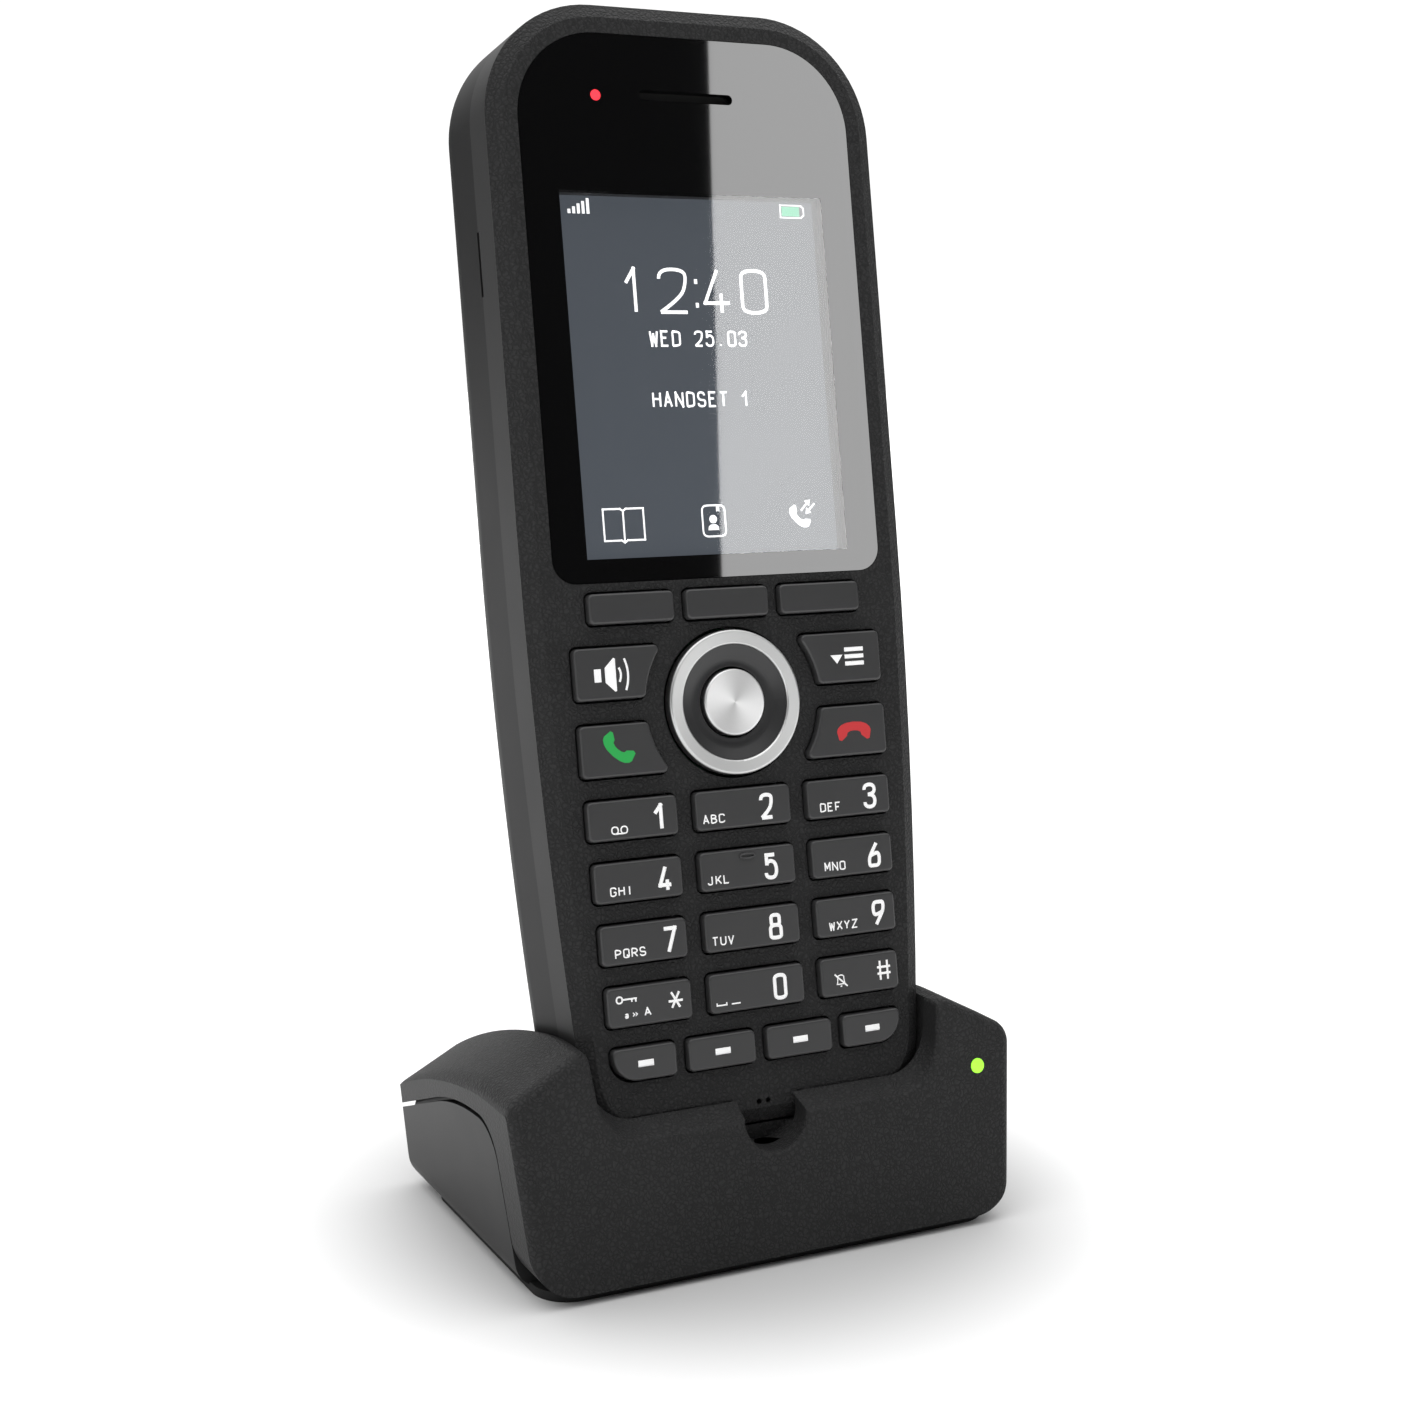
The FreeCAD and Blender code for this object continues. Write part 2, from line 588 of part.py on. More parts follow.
def back_parts():
    finished("battery_pack", block("pack_block", ("- pack_half", "pack_half"), ("pack_front", "pack_back"),
                                   ("pack_low", "pack_top")), HANDSET)
    leaves = [block("leaf", ("%d - 1" % x, "%d + 1" % x), ("pack_front + 1", "pack_front + 3.4"),
                    ("pack_top + 0.2", "cover_top")) for x in (-5, 0, 5)]
    finished("battery_contacts", group("leaf_set", *leaves), HANDSET)
    ringer = rod("ringer_body", "y", ("0", "back_side - 6.4", "ringer_z"), "ringer_r", 4)
    finished("ringer_speaker", ringer, HANDSET)
    aerial = block("aerial_strip", (-13, 13), ("board_depth + 1.6", "board_depth + 1.9"), (122, 130))
    leg = block("aerial_leg", (-1, 1), ("board_depth + board_thick", "board_depth + 1.6"), (122, 124))
    finished("antenna", fuse("aerial", aerial, leg), HANDSET)
    half = "contact_wide / 2 - 0.04"
    pads = [block("charge_pad", (side + "contact_x - ( %s )" % half, side + "contact_x + ( %s )" % half),
                  ("contact_y - 1.96", "contact_y + 1.96"), ("toe_z + 0.05", "toe_z + case_wall + 0.6"))
            for side in ("", "- ")]
    finished("charge_pads", group("charge_pad_pair", *pads), HANDSET)


# ---- base -----------------------------------------------------------------------------------------------
IN_BASE = FreeCAD.Placement(V(0, 0, value("seat_z")), LEAN)
ON_FRONT = FreeCAD.Placement(V(0, value("front_low_y"), value("front_low_z")), LEAN)
LEAN_RATIO = math.tan(math.radians(value("lean")))


def tilted(name, solid, frame=IN_BASE):
    """A piece drawn in the handset's or the front's frame, leaned back inside the base."""
    result = group(name, solid)
    result.Placement = frame
    return result


def draw_fall(sketch):
    """The top's path from front to back: level, then curving down, gently towards the rear."""
    start, bend, fall = value("drop_start"), value("drop_radius"), value("fall_radius")
    turn = math.atan(value("drop_slope"))
    joint = V(start + bend * math.sin(turn), bend * (math.cos(turn) - 1), 0)
    centre = joint - V(math.sin(turn), math.cos(turn), 0) * fall
    last = math.asin((value("base_back") + 5 - centre.x) / fall)
    upright = math.pi / 2
    level = sketch.addGeometry(Part.LineSegment(V(-12, 0, 0), V(start, 0, 0)))
    first = sketch.addGeometry(Part.ArcOfCircle(Part.Circle(V(start, -bend, 0), V(0, 0, 1), bend),
                                                upright - turn, upright))
    second = sketch.addGeometry(Part.ArcOfCircle(Part.Circle(centre, V(0, 0, 1), fall),
                                                 upright - last, upright - turn))
    sketch.addConstraint(Sketcher.Constraint("Horizontal", level))
    sketch.addConstraint(Sketcher.Constraint("Tangent", level, 2, first, 2))
    sketch.addConstraint(Sketcher.Constraint("Tangent", first, 1, second, 2))
    for index, text in ((first, "drop_radius"), (second, "fall_radius")):
        size = sketch.addConstraint(Sketcher.Constraint("Radius", index, value(text)))
        sketch.setExpression("Constraints[%d]" % size, bound(text))


def fall_body(name, by):
    """The base's cross section carried upright along the top's path, drawn in by a wall."""
    body = doc.addObject("PartDesign::Body", name)
    section = origin_sketch(body, "XZ_Plane", name + "_section", 12)
    low = "base_half - flare * 41 - " + by
    right = [(low, "-40", None),
             ("base_half + flare * shoulder_z - " + by, "shoulder_z - " + by, "shoulder_r - 0.7 * " + by),
             ("crest_x - 0.3 * " + by, "crest_z - 1.2 * " + by, "crest_r"),
             ("dish_x", "dish_z - " + by, "dish_r")]
    draw_outline(section, right + [("- ( %s )" % x, z, r) for x, z, r in reversed(right)])
    path = origin_sketch(body, "YZ_Plane", name + "_path")
    draw_fall(path)
    doc.recompute()
    pipe = body.newObject("PartDesign::AdditivePipe", name + "_pipe")
    pipe.Profile = section
    pipe.Spine = (path, ["Edge1", "Edge2", "Edge3"])
    pipe.Mode = "Fixed"
    return body


def front_line(height, by="0"):
    """How far back the leaning front face stands at a height."""
    return "front_low_y + ( %s - front_low_z + %s / 0.174 ) * %.6f" % (height, by, LEAN_RATIO)


def base_form(name, by, front_by, low):
    side = outline(name + "_side", "side", [
        (front_line(low, front_by), low, None),
        ("base_back - " + by, low, "base_back_round - " + by if by == "0" else None),
        ("base_back - " + by, "sky", None),
        (front_line("sky", front_by), "sky", None),
    ])
    return common(name, fall_body(name + "_fall", by), prism(name + "_depth", side, "-50", "50"))


def on_front(edge):
    """Edges of the leaning front face, but not its lowest one."""
    points = [edge.valueAt(t) for t in (edge.FirstParameter, edge.LastParameter)]
    return edge.BoundBox.ZMax > 2 and all(
        abs(p.y - value("front_low_y") - (p.z - value("front_low_z")) * LEAN_RATIO) < 0.02 for p in points)


def outer_form():
    plain = base_form("base_plain", "0", "0", "base_low")
    return rounded("base_outside", plain, "edge_round", on_front)


base_outside = outer_form()
base_inside = base_form("base_inside", "base_wall", "front_wall", "-1")


def foot_corners(name, radius, low):
    """A tall slab from front to back that rounds the two lower corners seen from the front."""
    shape = outline(name + "_line", "front", [
        ("base_half + flare * ( %s - front_low_z )" % low, low, radius),
        ("base_half + flare * ( sky - front_low_z )", "sky", None),
    ], both_sides=True)
    return prism(name, shape, "-20", "60")


def panel_region(name, front_gap, top_gap):
    """Seen from the side, what lies behind and below the front cover's inner edge."""
    low_y = "panel_front + %s - panel_slope * 3" % front_gap
    corner_y = "panel_front + %s + panel_slope * panel_corner_z" % front_gap
    shape = outline(name + "_line", "side", [
        (low_y, "-3", None),
        ("50", "-3", None),
        ("50", "panel_peak_z - panel_fall * ( 50 - panel_peak_y ) - " + top_gap, None),
        ("panel_peak_y", "panel_peak_z - " + top_gap, "panel_bow"),
        (corner_y, "panel_corner_z - " + top_gap, "panel_round"),
    ])
    return prism(name, shape, "-50", "50")


def pocket():
    """The room for the handset: its own outline with clearance, rounded at the back like the case."""
    room = prism("pocket_room", inset("pocket_line", case, "- seat_gap"), "- face_gap",
                 "back_apex - 0.75 + seat_gap")
    soft = rounded("pocket_soft", room, "back_round - 0.6",
                   lies_at("y", "back_apex - 0.75 + seat_gap"))
    return tilted("pocket", soft)


def cup():
    walls = prism("cup_walls", inset("cup_line", case, "- seat_gap - cup_wall"), "- face_gap",
                  "back_apex - 0.75 + seat_gap + cup_wall")
    return common("cup", tilted("cup_leaning", walls), base_outside)


def sill():
    """The opening in the front wall, rising inwards, with a thumb notch."""
    shape = outline("sill_line", "front", [
        ("sill_half", "sill_z", "sill_r"),
        ("sill_spread", "sky", None),
    ], both_sides=True)
    drive(shape, **{"Placement.Base.y": "sill_y"})
    opening = prism("sill_opening", shape, "- sill_front", "sill_reach")
    rise = math.radians(value("sill_rise"))
    opening.Dir = V(0, math.cos(rise), math.sin(rise))
    return [opening, rod("notch", "y", ("0", "-9", "sill_z"), "notch_r", 11)]


def post_places():
    return [(side + "post_x", y) for side in ("", "- ") for y in ("post_front", "post_rear")]


def posts(name, low, radius, high):
    return [rod(name, "z", (x, y, low), radius, "( %s ) - ( %s )" % (high, low)) for x, y in post_places()]


def pin_holes(radius):
    places = [side + "contact_x" for side in ("", "- ")]
    return [tilted("pin_hole", rod("pin_drill", "z", (x, "contact_y", "-2"), radius, 9)) for x in places]


def on_sill(edge):
    """Front edges of the opening and of its thumb notch."""
    middle = edge.CenterOfMass
    return on_front(edge) and middle.z > value("sill_z") - 5 and abs(middle.x) < value("sill_spread") + 0.9


def front_cover():
    outer = common("cover_outer", base_outside,
                   foot_corners("cover_corners", "base_corner", "pad_thick + 0.05"))
    band = cut("cover_band", outer, base_inside, panel_region("cover_edge", "0", "0"))
    bosses = common("cover_bosses", group("boss_set", *posts("boss", "post_join", "post_r", "sky")),
                    base_outside)
    whole = fuse("cover_whole", band, cup(), bosses)
    lamp = tilted("lamp_hole_base", rod("lamp_drill", "y", ("lamp_base_x", "-2", "lamp_base_s"),
                                        "lamp_base_r + 0.03", 9), ON_FRONT)
    drills = posts("boss_drill", "post_join - 1", "screw_r + 0.02", "15")
    shell = cut("cover_shell", whole, pocket(), lamp, *sill(), *drills, *pin_holes("pin_r + 0.12"))
    return finished("front_cover", rounded("cover_soft", shell, "sill_edge", on_sill), BASE)


def rubber_pad(name, grow, low, high):
    shape = outline(name + "_line", "plan", [
        ("pad_half + " + grow, "pad_front - " + grow, "pad_round"),
        ("pad_half + " + grow, "pad_rear + " + grow, "pad_round"),
    ], both_sides=True)
    return prism(name, shape, low, high)


def over_floor(name, half):
    return block(name, ("- " + half, half), (-20, 60), ("floor_top", "sky"))


def lip(above):
    """Stands up inside the side walls behind the seam, so that no daylight shows through it."""
    skin = base_form("lip_skin", "( base_wall + lip_play )", "front_wall", "-1")
    return common("lip", skin, panel_region("lip_edge", "panel_front_gap", "( - lip_high )"), above)


def tub_rooms(above):
    """The hollow of the lower housing: wide low down and across the back, narrower inside the lip."""
    below_lip = panel_region("below_lip", "( panel_front_gap + lip_root / 2 )",
                             "( panel_gap + lip_root )")
    core = base_form("lip_core", "( base_wall + lip_thick )", "( front_wall + lip_thick )", "-1")
    return [common("tub_room", base_inside, above, below_lip),
            common("lip_room", core, above),
            common("back_room", base_inside, over_floor("lip_break", "lip_from"))]


def lower_housing():
    region = panel_region("tub_edge", "panel_front_gap", "panel_gap")
    outer = common("tub_outer", base_outside, foot_corners("tub_corners", "tub_corner", "base_low"), region)
    above = over_floor("above_floor", "50")
    notches = posts("lip_notch", "post_join", "post_r + 0.3", "sky")
    shell = cut("tub_shell", fuse("tub_solid", outer, lip(above)), *tub_rooms(above), *notches)
    posts_up = posts("tub_post", "floor_top - 1", "post_r", "post_join - 0.1")
    tub = fuse("tub_whole", shell, *posts_up)
    heads = posts("head_room", "0", 2.2, "floor_top - 0.5")
    drills = posts("tub_drill", "0", "screw_r + 0.1", "post_join + 1")
    plug = rod("plug_hole", "y", ("0", "base_back - 4", "jack_z"), "jack_hole", 6)
    return finished("lower_housing", cut("tub", tub, rubber_pad("pad_room", "0.12", "-1", "pad_thick"),
                                         plug, *heads, *drills), BASE)


def base_fittings():
    finished("rubber_pad", rubber_pad("pad_slab", "0", "0", "pad_thick"), BASE)
    weight = block("ballast", ("- ballast_half", "ballast_half"), ("ballast_front", "ballast_rear"),
                   ("floor_top", "floor_top + ballast_high"))
    finished("ballast_plate", weight, BASE)
    plate = block("base_plate", ("- plate_half", "plate_half"), ("plate_front", "plate_rear"),
                  ("jack_z + jack_half", "jack_z + jack_half + board_thick"))
    finished("base_board", plate, BASE)
    body = block("jack_body", ("- jack_wide", "jack_wide"),
                 ("base_back - jack_long", "base_back - base_wall - 0.05"),
                 ("jack_z - jack_half", "jack_z + jack_half"))
    bore = rod("jack_well", "y", ("0", "base_back - jack_long + 2", "jack_z"), "jack_bore", "jack_long")
    prong = rod("jack_prong", "y", ("0", "base_back - jack_long + 1.5", "jack_z"), "prong_r",
                "jack_long - 4.5")
    finished("power_socket", fuse("jack", cut("jack_case", body, bore), prong), BASE)
    heads = posts("base_head", "pad_thick + 0.05", 2, "floor_top - 0.5")
    shanks = posts("base_shank", "floor_top - 0.6", "screw_r", "14")
    screws = [fuse("base_screw", head, shank) for head, shank in zip(heads, shanks)]
    finished("base_screws", group("base_screw_set", *screws), BASE)
    lens = rod("base_lens", "y", ("lamp_base_x", "-0.06", "lamp_base_s"), "lamp_base_r", 6)
    finished("base_light", lens, BASE.multiply(ON_FRONT))


def contacts():
    """Two sprung pins that meet the handset's charging pads, and the block that guides them."""
    pins = []
    holder = block("guide_block", ("- guide_half", "guide_half"), ("contact_y - 3", "contact_y + 3"),
                   ("guide_low", "guide_high"))
    for side in ("", "- "):
        x = side + "contact_x"
        pins.append(turned("pin" + ("_left" if side else "_right"), [
            ("0", "stem_foot", None), ("stem_r", "stem_foot", None), ("stem_r", "collar_low", None),
            ("collar_r", "collar_low", None), ("collar_r", "collar_high", None),
            ("pin_r", "collar_high", None), ("pin_r", "toe_z + 0.05 - pin_gap", 0.6),
            ("0", "toe_z + 0.05 - pin_gap", None)], at(x, "contact_y", "0")))
        wide = rod("guide_wide", "z", (x, "contact_y", "0.2"), "guide_bore", 4)
        thin = rod("guide_thin", "z", (x, "contact_y", "-5"), "guide_stem", 6)
        holder = cut("guide" + ("_left" if side else "_right"), holder, wide, thin)
    finished("charge_pins", group("pin_pair", *pins), HANDSET)
    finished("contact_block", holder, HANDSET)


# ---- the whole telephone --------------------------------------------------------------------------------
def check_document():
    doc.recompute()
    broken = [item.Name for item in doc.Objects if {"Invalid", "Error"} & set(item.State)]
    for node in NODES:
        if node.Shape.isNull() or not node.Shape.isValid() or not node.Shape.Solids:
            broken.append(node.Label + " has no sound solid")
    if broken:
        raise RuntimeError("not sound: " + ", ".join(broken))


def export():
    os.makedirs("parts", exist_ok=True)
    for node in NODES:
        node.Shape.exportStep("parts/%s.step" % node.Label)
        print("%-18s %2d solid %9.1f mm3" % (node.Label, len(node.Shape.Solids), node.Shape.Volume))


front_housing(make_keys())
rear_housing()
battery_cover()
round_pad()
front_parts()
screen()
mat_and_board()
back_parts()
front_cover()
lower_housing()
base_fittings()
contacts()
check_document()
export()
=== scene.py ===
# %% [markdown]
# # A cordless telephone standing in its charging base
#
# The engineering model holds every solid part where it belongs: the case, the keys, the round pad, the glass
# and the base. Here those parts get their surfaces, and the printed and lit details that the solids lack are
# added: the legends on the keys, the picture on the display and the pip on the five.

import math

import bmesh
import bpy
from mathutils import Matrix, Vector


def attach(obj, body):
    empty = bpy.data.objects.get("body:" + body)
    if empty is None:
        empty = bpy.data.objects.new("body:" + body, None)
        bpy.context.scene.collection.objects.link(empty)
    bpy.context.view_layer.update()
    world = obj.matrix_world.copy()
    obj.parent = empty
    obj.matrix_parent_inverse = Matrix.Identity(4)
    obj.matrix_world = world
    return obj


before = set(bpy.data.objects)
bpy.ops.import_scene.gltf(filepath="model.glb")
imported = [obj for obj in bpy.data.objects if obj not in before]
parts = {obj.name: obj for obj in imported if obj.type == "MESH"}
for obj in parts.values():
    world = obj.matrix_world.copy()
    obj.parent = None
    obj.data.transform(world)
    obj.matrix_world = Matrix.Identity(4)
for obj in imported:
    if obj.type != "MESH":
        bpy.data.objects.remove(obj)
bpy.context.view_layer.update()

# %% [markdown]
# ## The face of the handset as a drawing board
#
# The handset leans back by ten degrees. Everything printed on it is easier to draw on an upright sheet, in
# millimetres, with x to the right, y towards the earpiece and z out of the face. One matrix then carries a
# drawing from that sheet to its place, and its inverse says where a part lies on the sheet.

# %% The drawing board's matrix
MM = 0.001
LEAN = math.radians(10)
SEAT = Vector((0, -18.45, 11.1)) * MM
UP_THE_FACE = Vector((0, math.sin(LEAN), math.cos(LEAN)))
OUT_OF_FACE = Vector((0, -math.cos(LEAN), math.sin(LEAN)))

FACE = (Matrix.Translation(SEAT)
        @ Matrix((Vector((1, 0, 0)), UP_THE_FACE, OUT_OF_FACE)).transposed().to_4x4()
        @ Matrix.Scale(MM, 4))


def on_sheet(name):
    """The lowest and highest corner of a part on the drawing sheet, in millimetres."""
    flat = FACE.inverted()
    corners = [flat @ vertex.co for vertex in parts[name].data.vertices]
    return [Vector(map(pick, *corners)) for pick in (min, max)]


for name in ("key_5", "display_module", "display_glass"):
    print(name, [tuple(round(v, 2) for v in corner) for corner in on_sheet(name)])

# %% [markdown]
# ## Writing finishes as sums
#
# A finish is a small network of shader nodes. To keep it readable, a socket is wrapped in a class that knows
# plus, minus, times and so on, and each sum adds its Math node. Every other node comes from one method.


# %% The two classes for finishes
class Signal:
    """What leaves a socket, ready to be used in a sum."""

    def __init__(self, finish, socket):
        self.finish = finish
        self.socket = socket

    def maths(self, operation, *others):
        """One Math node, with this socket first."""
        return self.finish.node("ShaderNodeMath", {"operation": operation}, enumerate((self, *others)))

    def __add__(self, other):
        return self.maths("ADD", other)

    def __sub__(self, other):
        return self.maths("SUBTRACT", other)

    def __rsub__(self, other):
        return self.finish.node("ShaderNodeMath", {"operation": "SUBTRACT"}, {0: other, 1: self})

    def __mul__(self, other):
        return self.maths("MULTIPLY", other)

    def __lt__(self, other):
        return self.maths("LESS_THAN", other)

    def __gt__(self, other):
        return self.maths("GREATER_THAN", other)

    def __abs__(self):
        return self.maths("ABSOLUTE")

    __radd__ = __add__
    __rmul__ = __mul__


class Finish:
    """A material and the nodes it is made of."""

    def __init__(self, name, **numbers):
        self.material = bpy.data.materials.new(name)
        self.material.use_nodes = True
        self.tree = self.material.node_tree
        self.shader = self.tree.nodes["Principled BSDF"]
        self.place = self.node("ShaderNodeTexCoord", out="Object")
        self.set(**numbers)

    def node(self, kind, settings=(), sockets=(), out=0):
        """A new node with its settings and inputs; what it gives is the signal from one of its outputs."""
        made = self.tree.nodes.new(kind)
        for name, value in dict(settings).items():
            setattr(made, name, value)
        for name, value in dict(sockets).items():
            self.plug(made.inputs[name], value)
        return Signal(self, made.outputs[out])

    def plug(self, socket, value):
        """Link a signal to a socket, or set the socket's own value; a colour gets its fourth number here."""
        if isinstance(value, Signal):
            self.tree.links.new(value.socket, socket)
        elif socket.type == "RGBA" and len(value) == 3:
            socket.default_value = (*value, 1)
        else:
            socket.default_value = value

    def set(self, **numbers):
        """Sockets of the shader, with the spaces in their names written as underscores."""
        for name, value in numbers.items():
            self.plug(self.shader.inputs[name.replace("_", " ")], value)
        return self

    def along(self, direction, start=(0, 0, 0)):
        """How far a point lies along a direction, in millimetres."""
        moved = self.node("ShaderNodeVectorMath", {"operation": "SUBTRACT"}, {0: self.place, 1: start})
        wanted = Vector(direction) / MM
        return self.node("ShaderNodeVectorMath", {"operation": "DOT_PRODUCT"}, {0: moved, 1: wanted},
                         out="Value")

    def ramp(self, signal, low, high, smooth=True):
        """Zero below low, one above high, and a soft step between them."""
        kind = {"interpolation_type": "SMOOTHSTEP" if smooth else "LINEAR"}
        return self.node("ShaderNodeMapRange", kind, {"Value": signal, "From Min": low, "From Max": high})

    def noise(self, size, detail, out=0):
        """Cloudy noise whose lumps are about size millimetres across."""
        return self.node("ShaderNodeTexNoise", {}, {"Vector": self.place, "Scale": 1 / (size * MM),
                                                    "Detail": detail}, out)

    def mix(self, share, first, second):
        """A colour between two."""
        return self.node("ShaderNodeMix", {"data_type": "RGBA"}, {0: share, 6: first, 7: second}, out=2)

    def bump(self, height, depth, strength=1.0):
        """Relief: height runs from zero to one, and depth is in millimetres."""
        return self.node("ShaderNodeBump", {}, {"Height": height, "Distance": depth * MM,
                                                "Strength": strength})


def shades(colour, low, high):
    """A colour's darker and its lighter shade."""
    return [[part * level for part in colour] for level in (low, high)]


def dress(finish, *names):
    """Give parts or new pieces a finish."""
    for name in names:
        target = bpy.data.objects[name] if isinstance(name, str) else name
        target.data.materials.clear()
        target.data.materials.append(finish.material)


print("ready to mix finishes")

# %% [markdown]
# ## The eye
#
# The camera stands close, a little above the telephone and to its left, so the handset narrows towards the
# top and both its face and its left flank are seen.

# %% Camera
AZIMUTH, DIP = math.radians(26.24), math.radians(9.27)
camera = bpy.data.objects.new("camera", bpy.data.cameras.new("camera"))
bpy.context.scene.collection.objects.link(camera)
camera.data.lens = 55.17
camera.data.sensor_width = 36
camera.data.clip_start = 0.01
camera.location = (-0.1145, -0.23535, 0.1049)
looking = Vector((math.sin(AZIMUTH) * math.cos(DIP), math.cos(AZIMUTH) * math.cos(DIP), -math.sin(DIP)))
camera.rotation_euler = looking.to_track_quat("-Z", "Y").to_euler()
bpy.context.scene.camera = camera
print("camera looks along", tuple(round(v, 3) for v in looking))

# %% [markdown]
# ## Studio
#
# A product like this stands on pale paper in a white tent. Nearly all the light comes from above, so the
# floor darkens close round the base. The paper also has a painted glow that is nil right by the base and
# grows with the distance from it, so it vanishes into white farther out and the dark pool round the base is
# partly painted shade. The camera sees plain white behind everything.

# %% Floor and room light
floor_mesh = bmesh.new()
bmesh.ops.create_circle(floor_mesh, cap_ends=True, segments=96, radius=6)
floor = bpy.data.objects.new("floor", bpy.data.meshes.new("floor"))
floor_mesh.to_mesh(floor.data)
floor_mesh.free()
bpy.context.scene.collection.objects.link(floor)
paper = Finish("paper_floor", Base_Color=(0.64, 0.64, 0.64), Roughness=0.9, Specular_IOR_Level=0.1,
               Emission_Color=(1, 1, 1))
distance = paper.node("ShaderNodeVectorMath", {"operation": "LENGTH"}, {0: paper.place}, out="Value")
# painted light on the paper: its glow grows with the distance from the base, leaving painted shade close
# round it
painted_glow_round_base, painted_glow_far_off = paper.ramp(distance, 0.028, 0.065), paper.ramp(distance, 0.1, 0.8)
paper.set(Emission_Strength=painted_glow_round_base * 0.5 + painted_glow_far_off * 0.3)
dress(paper, floor)

room = bpy.data.worlds.new("room")
bpy.context.scene.world = room
room.use_nodes = True
sky = room.node_tree


def sky_node(kind, **sockets):
    made = sky.nodes.new(kind)
    for name, value in sockets.items():
        made.inputs[name].default_value = value
    return made


GLOW_FROM = Vector((0, 0.25, 0.97)).normalized()
DIM, BRIGHT = 0.03, 2.1
towards = sky_node("ShaderNodeTexCoord")
facing = sky_node("ShaderNodeVectorMath")
facing.operation = "DOT_PRODUCT"
facing.inputs[1].default_value = GLOW_FROM
shade = sky_node("ShaderNodeMapRange", **{"From Min": 0.25, "From Max": 0.95,
                                          "To Min": DIM, "To Max": BRIGHT})
shade.interpolation_type = "SMOOTHSTEP"
seen = sky_node("ShaderNodeLightPath")
white, glow = sky_node("ShaderNodeBackground", Strength=1.1, Color=(1, 1, 1, 1)), sky.nodes["Background"]
glow.inputs["Color"].default_value = (1, 1, 1, 1)
choose = sky_node("ShaderNodeMixShader")
for start, end in ((towards.outputs["Generated"], facing.inputs[0]),
                   (facing.outputs["Value"], shade.inputs[0]),
                   (shade.outputs[0], glow.inputs["Strength"]),
                   (seen.outputs["Is Camera Ray"], choose.inputs[0]),
                   (glow.outputs[0], choose.inputs[1]), (white.outputs[0], choose.inputs[2]),
                   (choose.outputs[0], sky.nodes["World Output"].inputs["Surface"])):
    sky.links.new(start, end)
bpy.context.scene.view_settings.view_transform = "Standard"
print("white room ready")

# %% [markdown]
# ## Lamps
#
# A weak soft lamp on the left lifts the flank. The silver parts have a wide lamp of their own in front, and
# the glass has a tall one whose mirror image covers its right half with a sharp upright edge. Light linking
# keeps those two off everything else, as flags would in a studio.
#
# The glass lamp's place follows from that edge: two points of it on the glass are joined to the eye, the rays
# are bounced off the glass, and the lamp's left side stands where they arrive.


# %% Lamps
def soft_lamp(name, place, aim, size, power):
    """A rectangular lamp that faces a point."""
    lamp = bpy.data.objects.new(name, bpy.data.lights.new(name, "AREA"))
    lamp.data.shape = "RECTANGLE"
    lamp.data.size, lamp.data.size_y = size
    lamp.data.energy = power
    lamp.location = place
    lamp.rotation_euler = (Vector(aim) - Vector(place)).to_track_quat("-Z", "Y").to_euler()
    lamp.visible_camera = False
    bpy.context.scene.collection.objects.link(lamp)
    return lamp


def looking_like(size, brightness):
    """The power of a rectangular lamp that looks a number of times as bright as white."""
    return size[0] * size[1] * math.pi * brightness


def only_for(lamp, *names):
    """Flag a lamp off everything but some parts."""
    seen_by = bpy.data.collections.new("lit_by_" + lamp.name)
    for name in names:
        seen_by.objects.link(parts[name])
    lamp.light_linking.receiver_collection = seen_by


MIDDLE = (0, 0, 0.07)
soft_lamp("lamp_left", (-0.8, -0.25, 0.35), MIDDLE, (0.5, 0.6), 0.5)

WIDE_LAMP = (1.3, 1.1)
front = soft_lamp("lamp_for_metal", (0.38, -0.78, 0.28), (0, -0.01, 0.065), WIDE_LAMP,
                  looking_like(WIDE_LAMP, 0.7))
only_for(front, "key_ok", "pad_trim")

EDGE = [FACE @ Vector(spot) for spot in ((3.5, 132.5, 0), (-0.1, 69.0, 0))]
REACH = 0.9
TALL_LAMP = (1.0, 1.6)


def bounced(spot):
    """Where the ray from the eye to a spot on the glass arrives after its bounce."""
    ray = (spot - camera.location).normalized()
    return spot + REACH * (ray - 2 * ray.dot(OUT_OF_FACE) * OUT_OF_FACE)


top, foot = map(bounced, EDGE)
upward = (top - foot).normalized()
back_to_glass = (sum(EDGE, Vector()) / 2 - (top + foot) / 2).normalized()
rightward = back_to_glass.cross(upward).normalized()
mirrored = soft_lamp("lamp_for_glass", (top + foot) / 2 + rightward * TALL_LAMP[0] / 2, MIDDLE, TALL_LAMP,
                     looking_like(TALL_LAMP, 6.5))
backwards = rightward.cross(upward).normalized()
mirrored.rotation_euler = Matrix((rightward, upward, backwards)).transposed().to_euler()
only_for(mirrored, "display_glass")
print("three lamps, the one for the glass at", tuple(round(v, 2) for v in mirrored.location))

# %% [markdown]
# ## Moulded plastic
#
# The case is black plastic. Its front and the base's shell came out of an etched mould, which leaves a fine
# leather grain; the flanks and the back are finely matt. The grain is a relief of cells about half a
# millimetre wide, pulled out of shape by noise, so their walls wander as they do in leather. The creases are
# darker too, because little light gets into them.


# %% Plastic finishes
def leather(finish, cell=0.55):
    """Height of a leather grain, from zero in the creases to one on the pebbles."""
    wander = finish.noise(1.3, 2.0, "Color")
    shift = finish.node("ShaderNodeVectorMath", {"operation": "SCALE"}, {0: wander, "Scale": 1.1 * MM})
    pulled = finish.node("ShaderNodeVectorMath", {"operation": "ADD"}, {0: finish.place, 1: shift})
    crease = finish.node("ShaderNodeTexVoronoi", {"feature": "DISTANCE_TO_EDGE"},
                         {"Vector": pulled, "Scale": 1 / (cell * MM)}, out="Distance")
    pebble = finish.ramp(crease, 0.0, 0.32)
    return pebble * 0.75 + finish.noise(0.28, 2.0) * 0.4


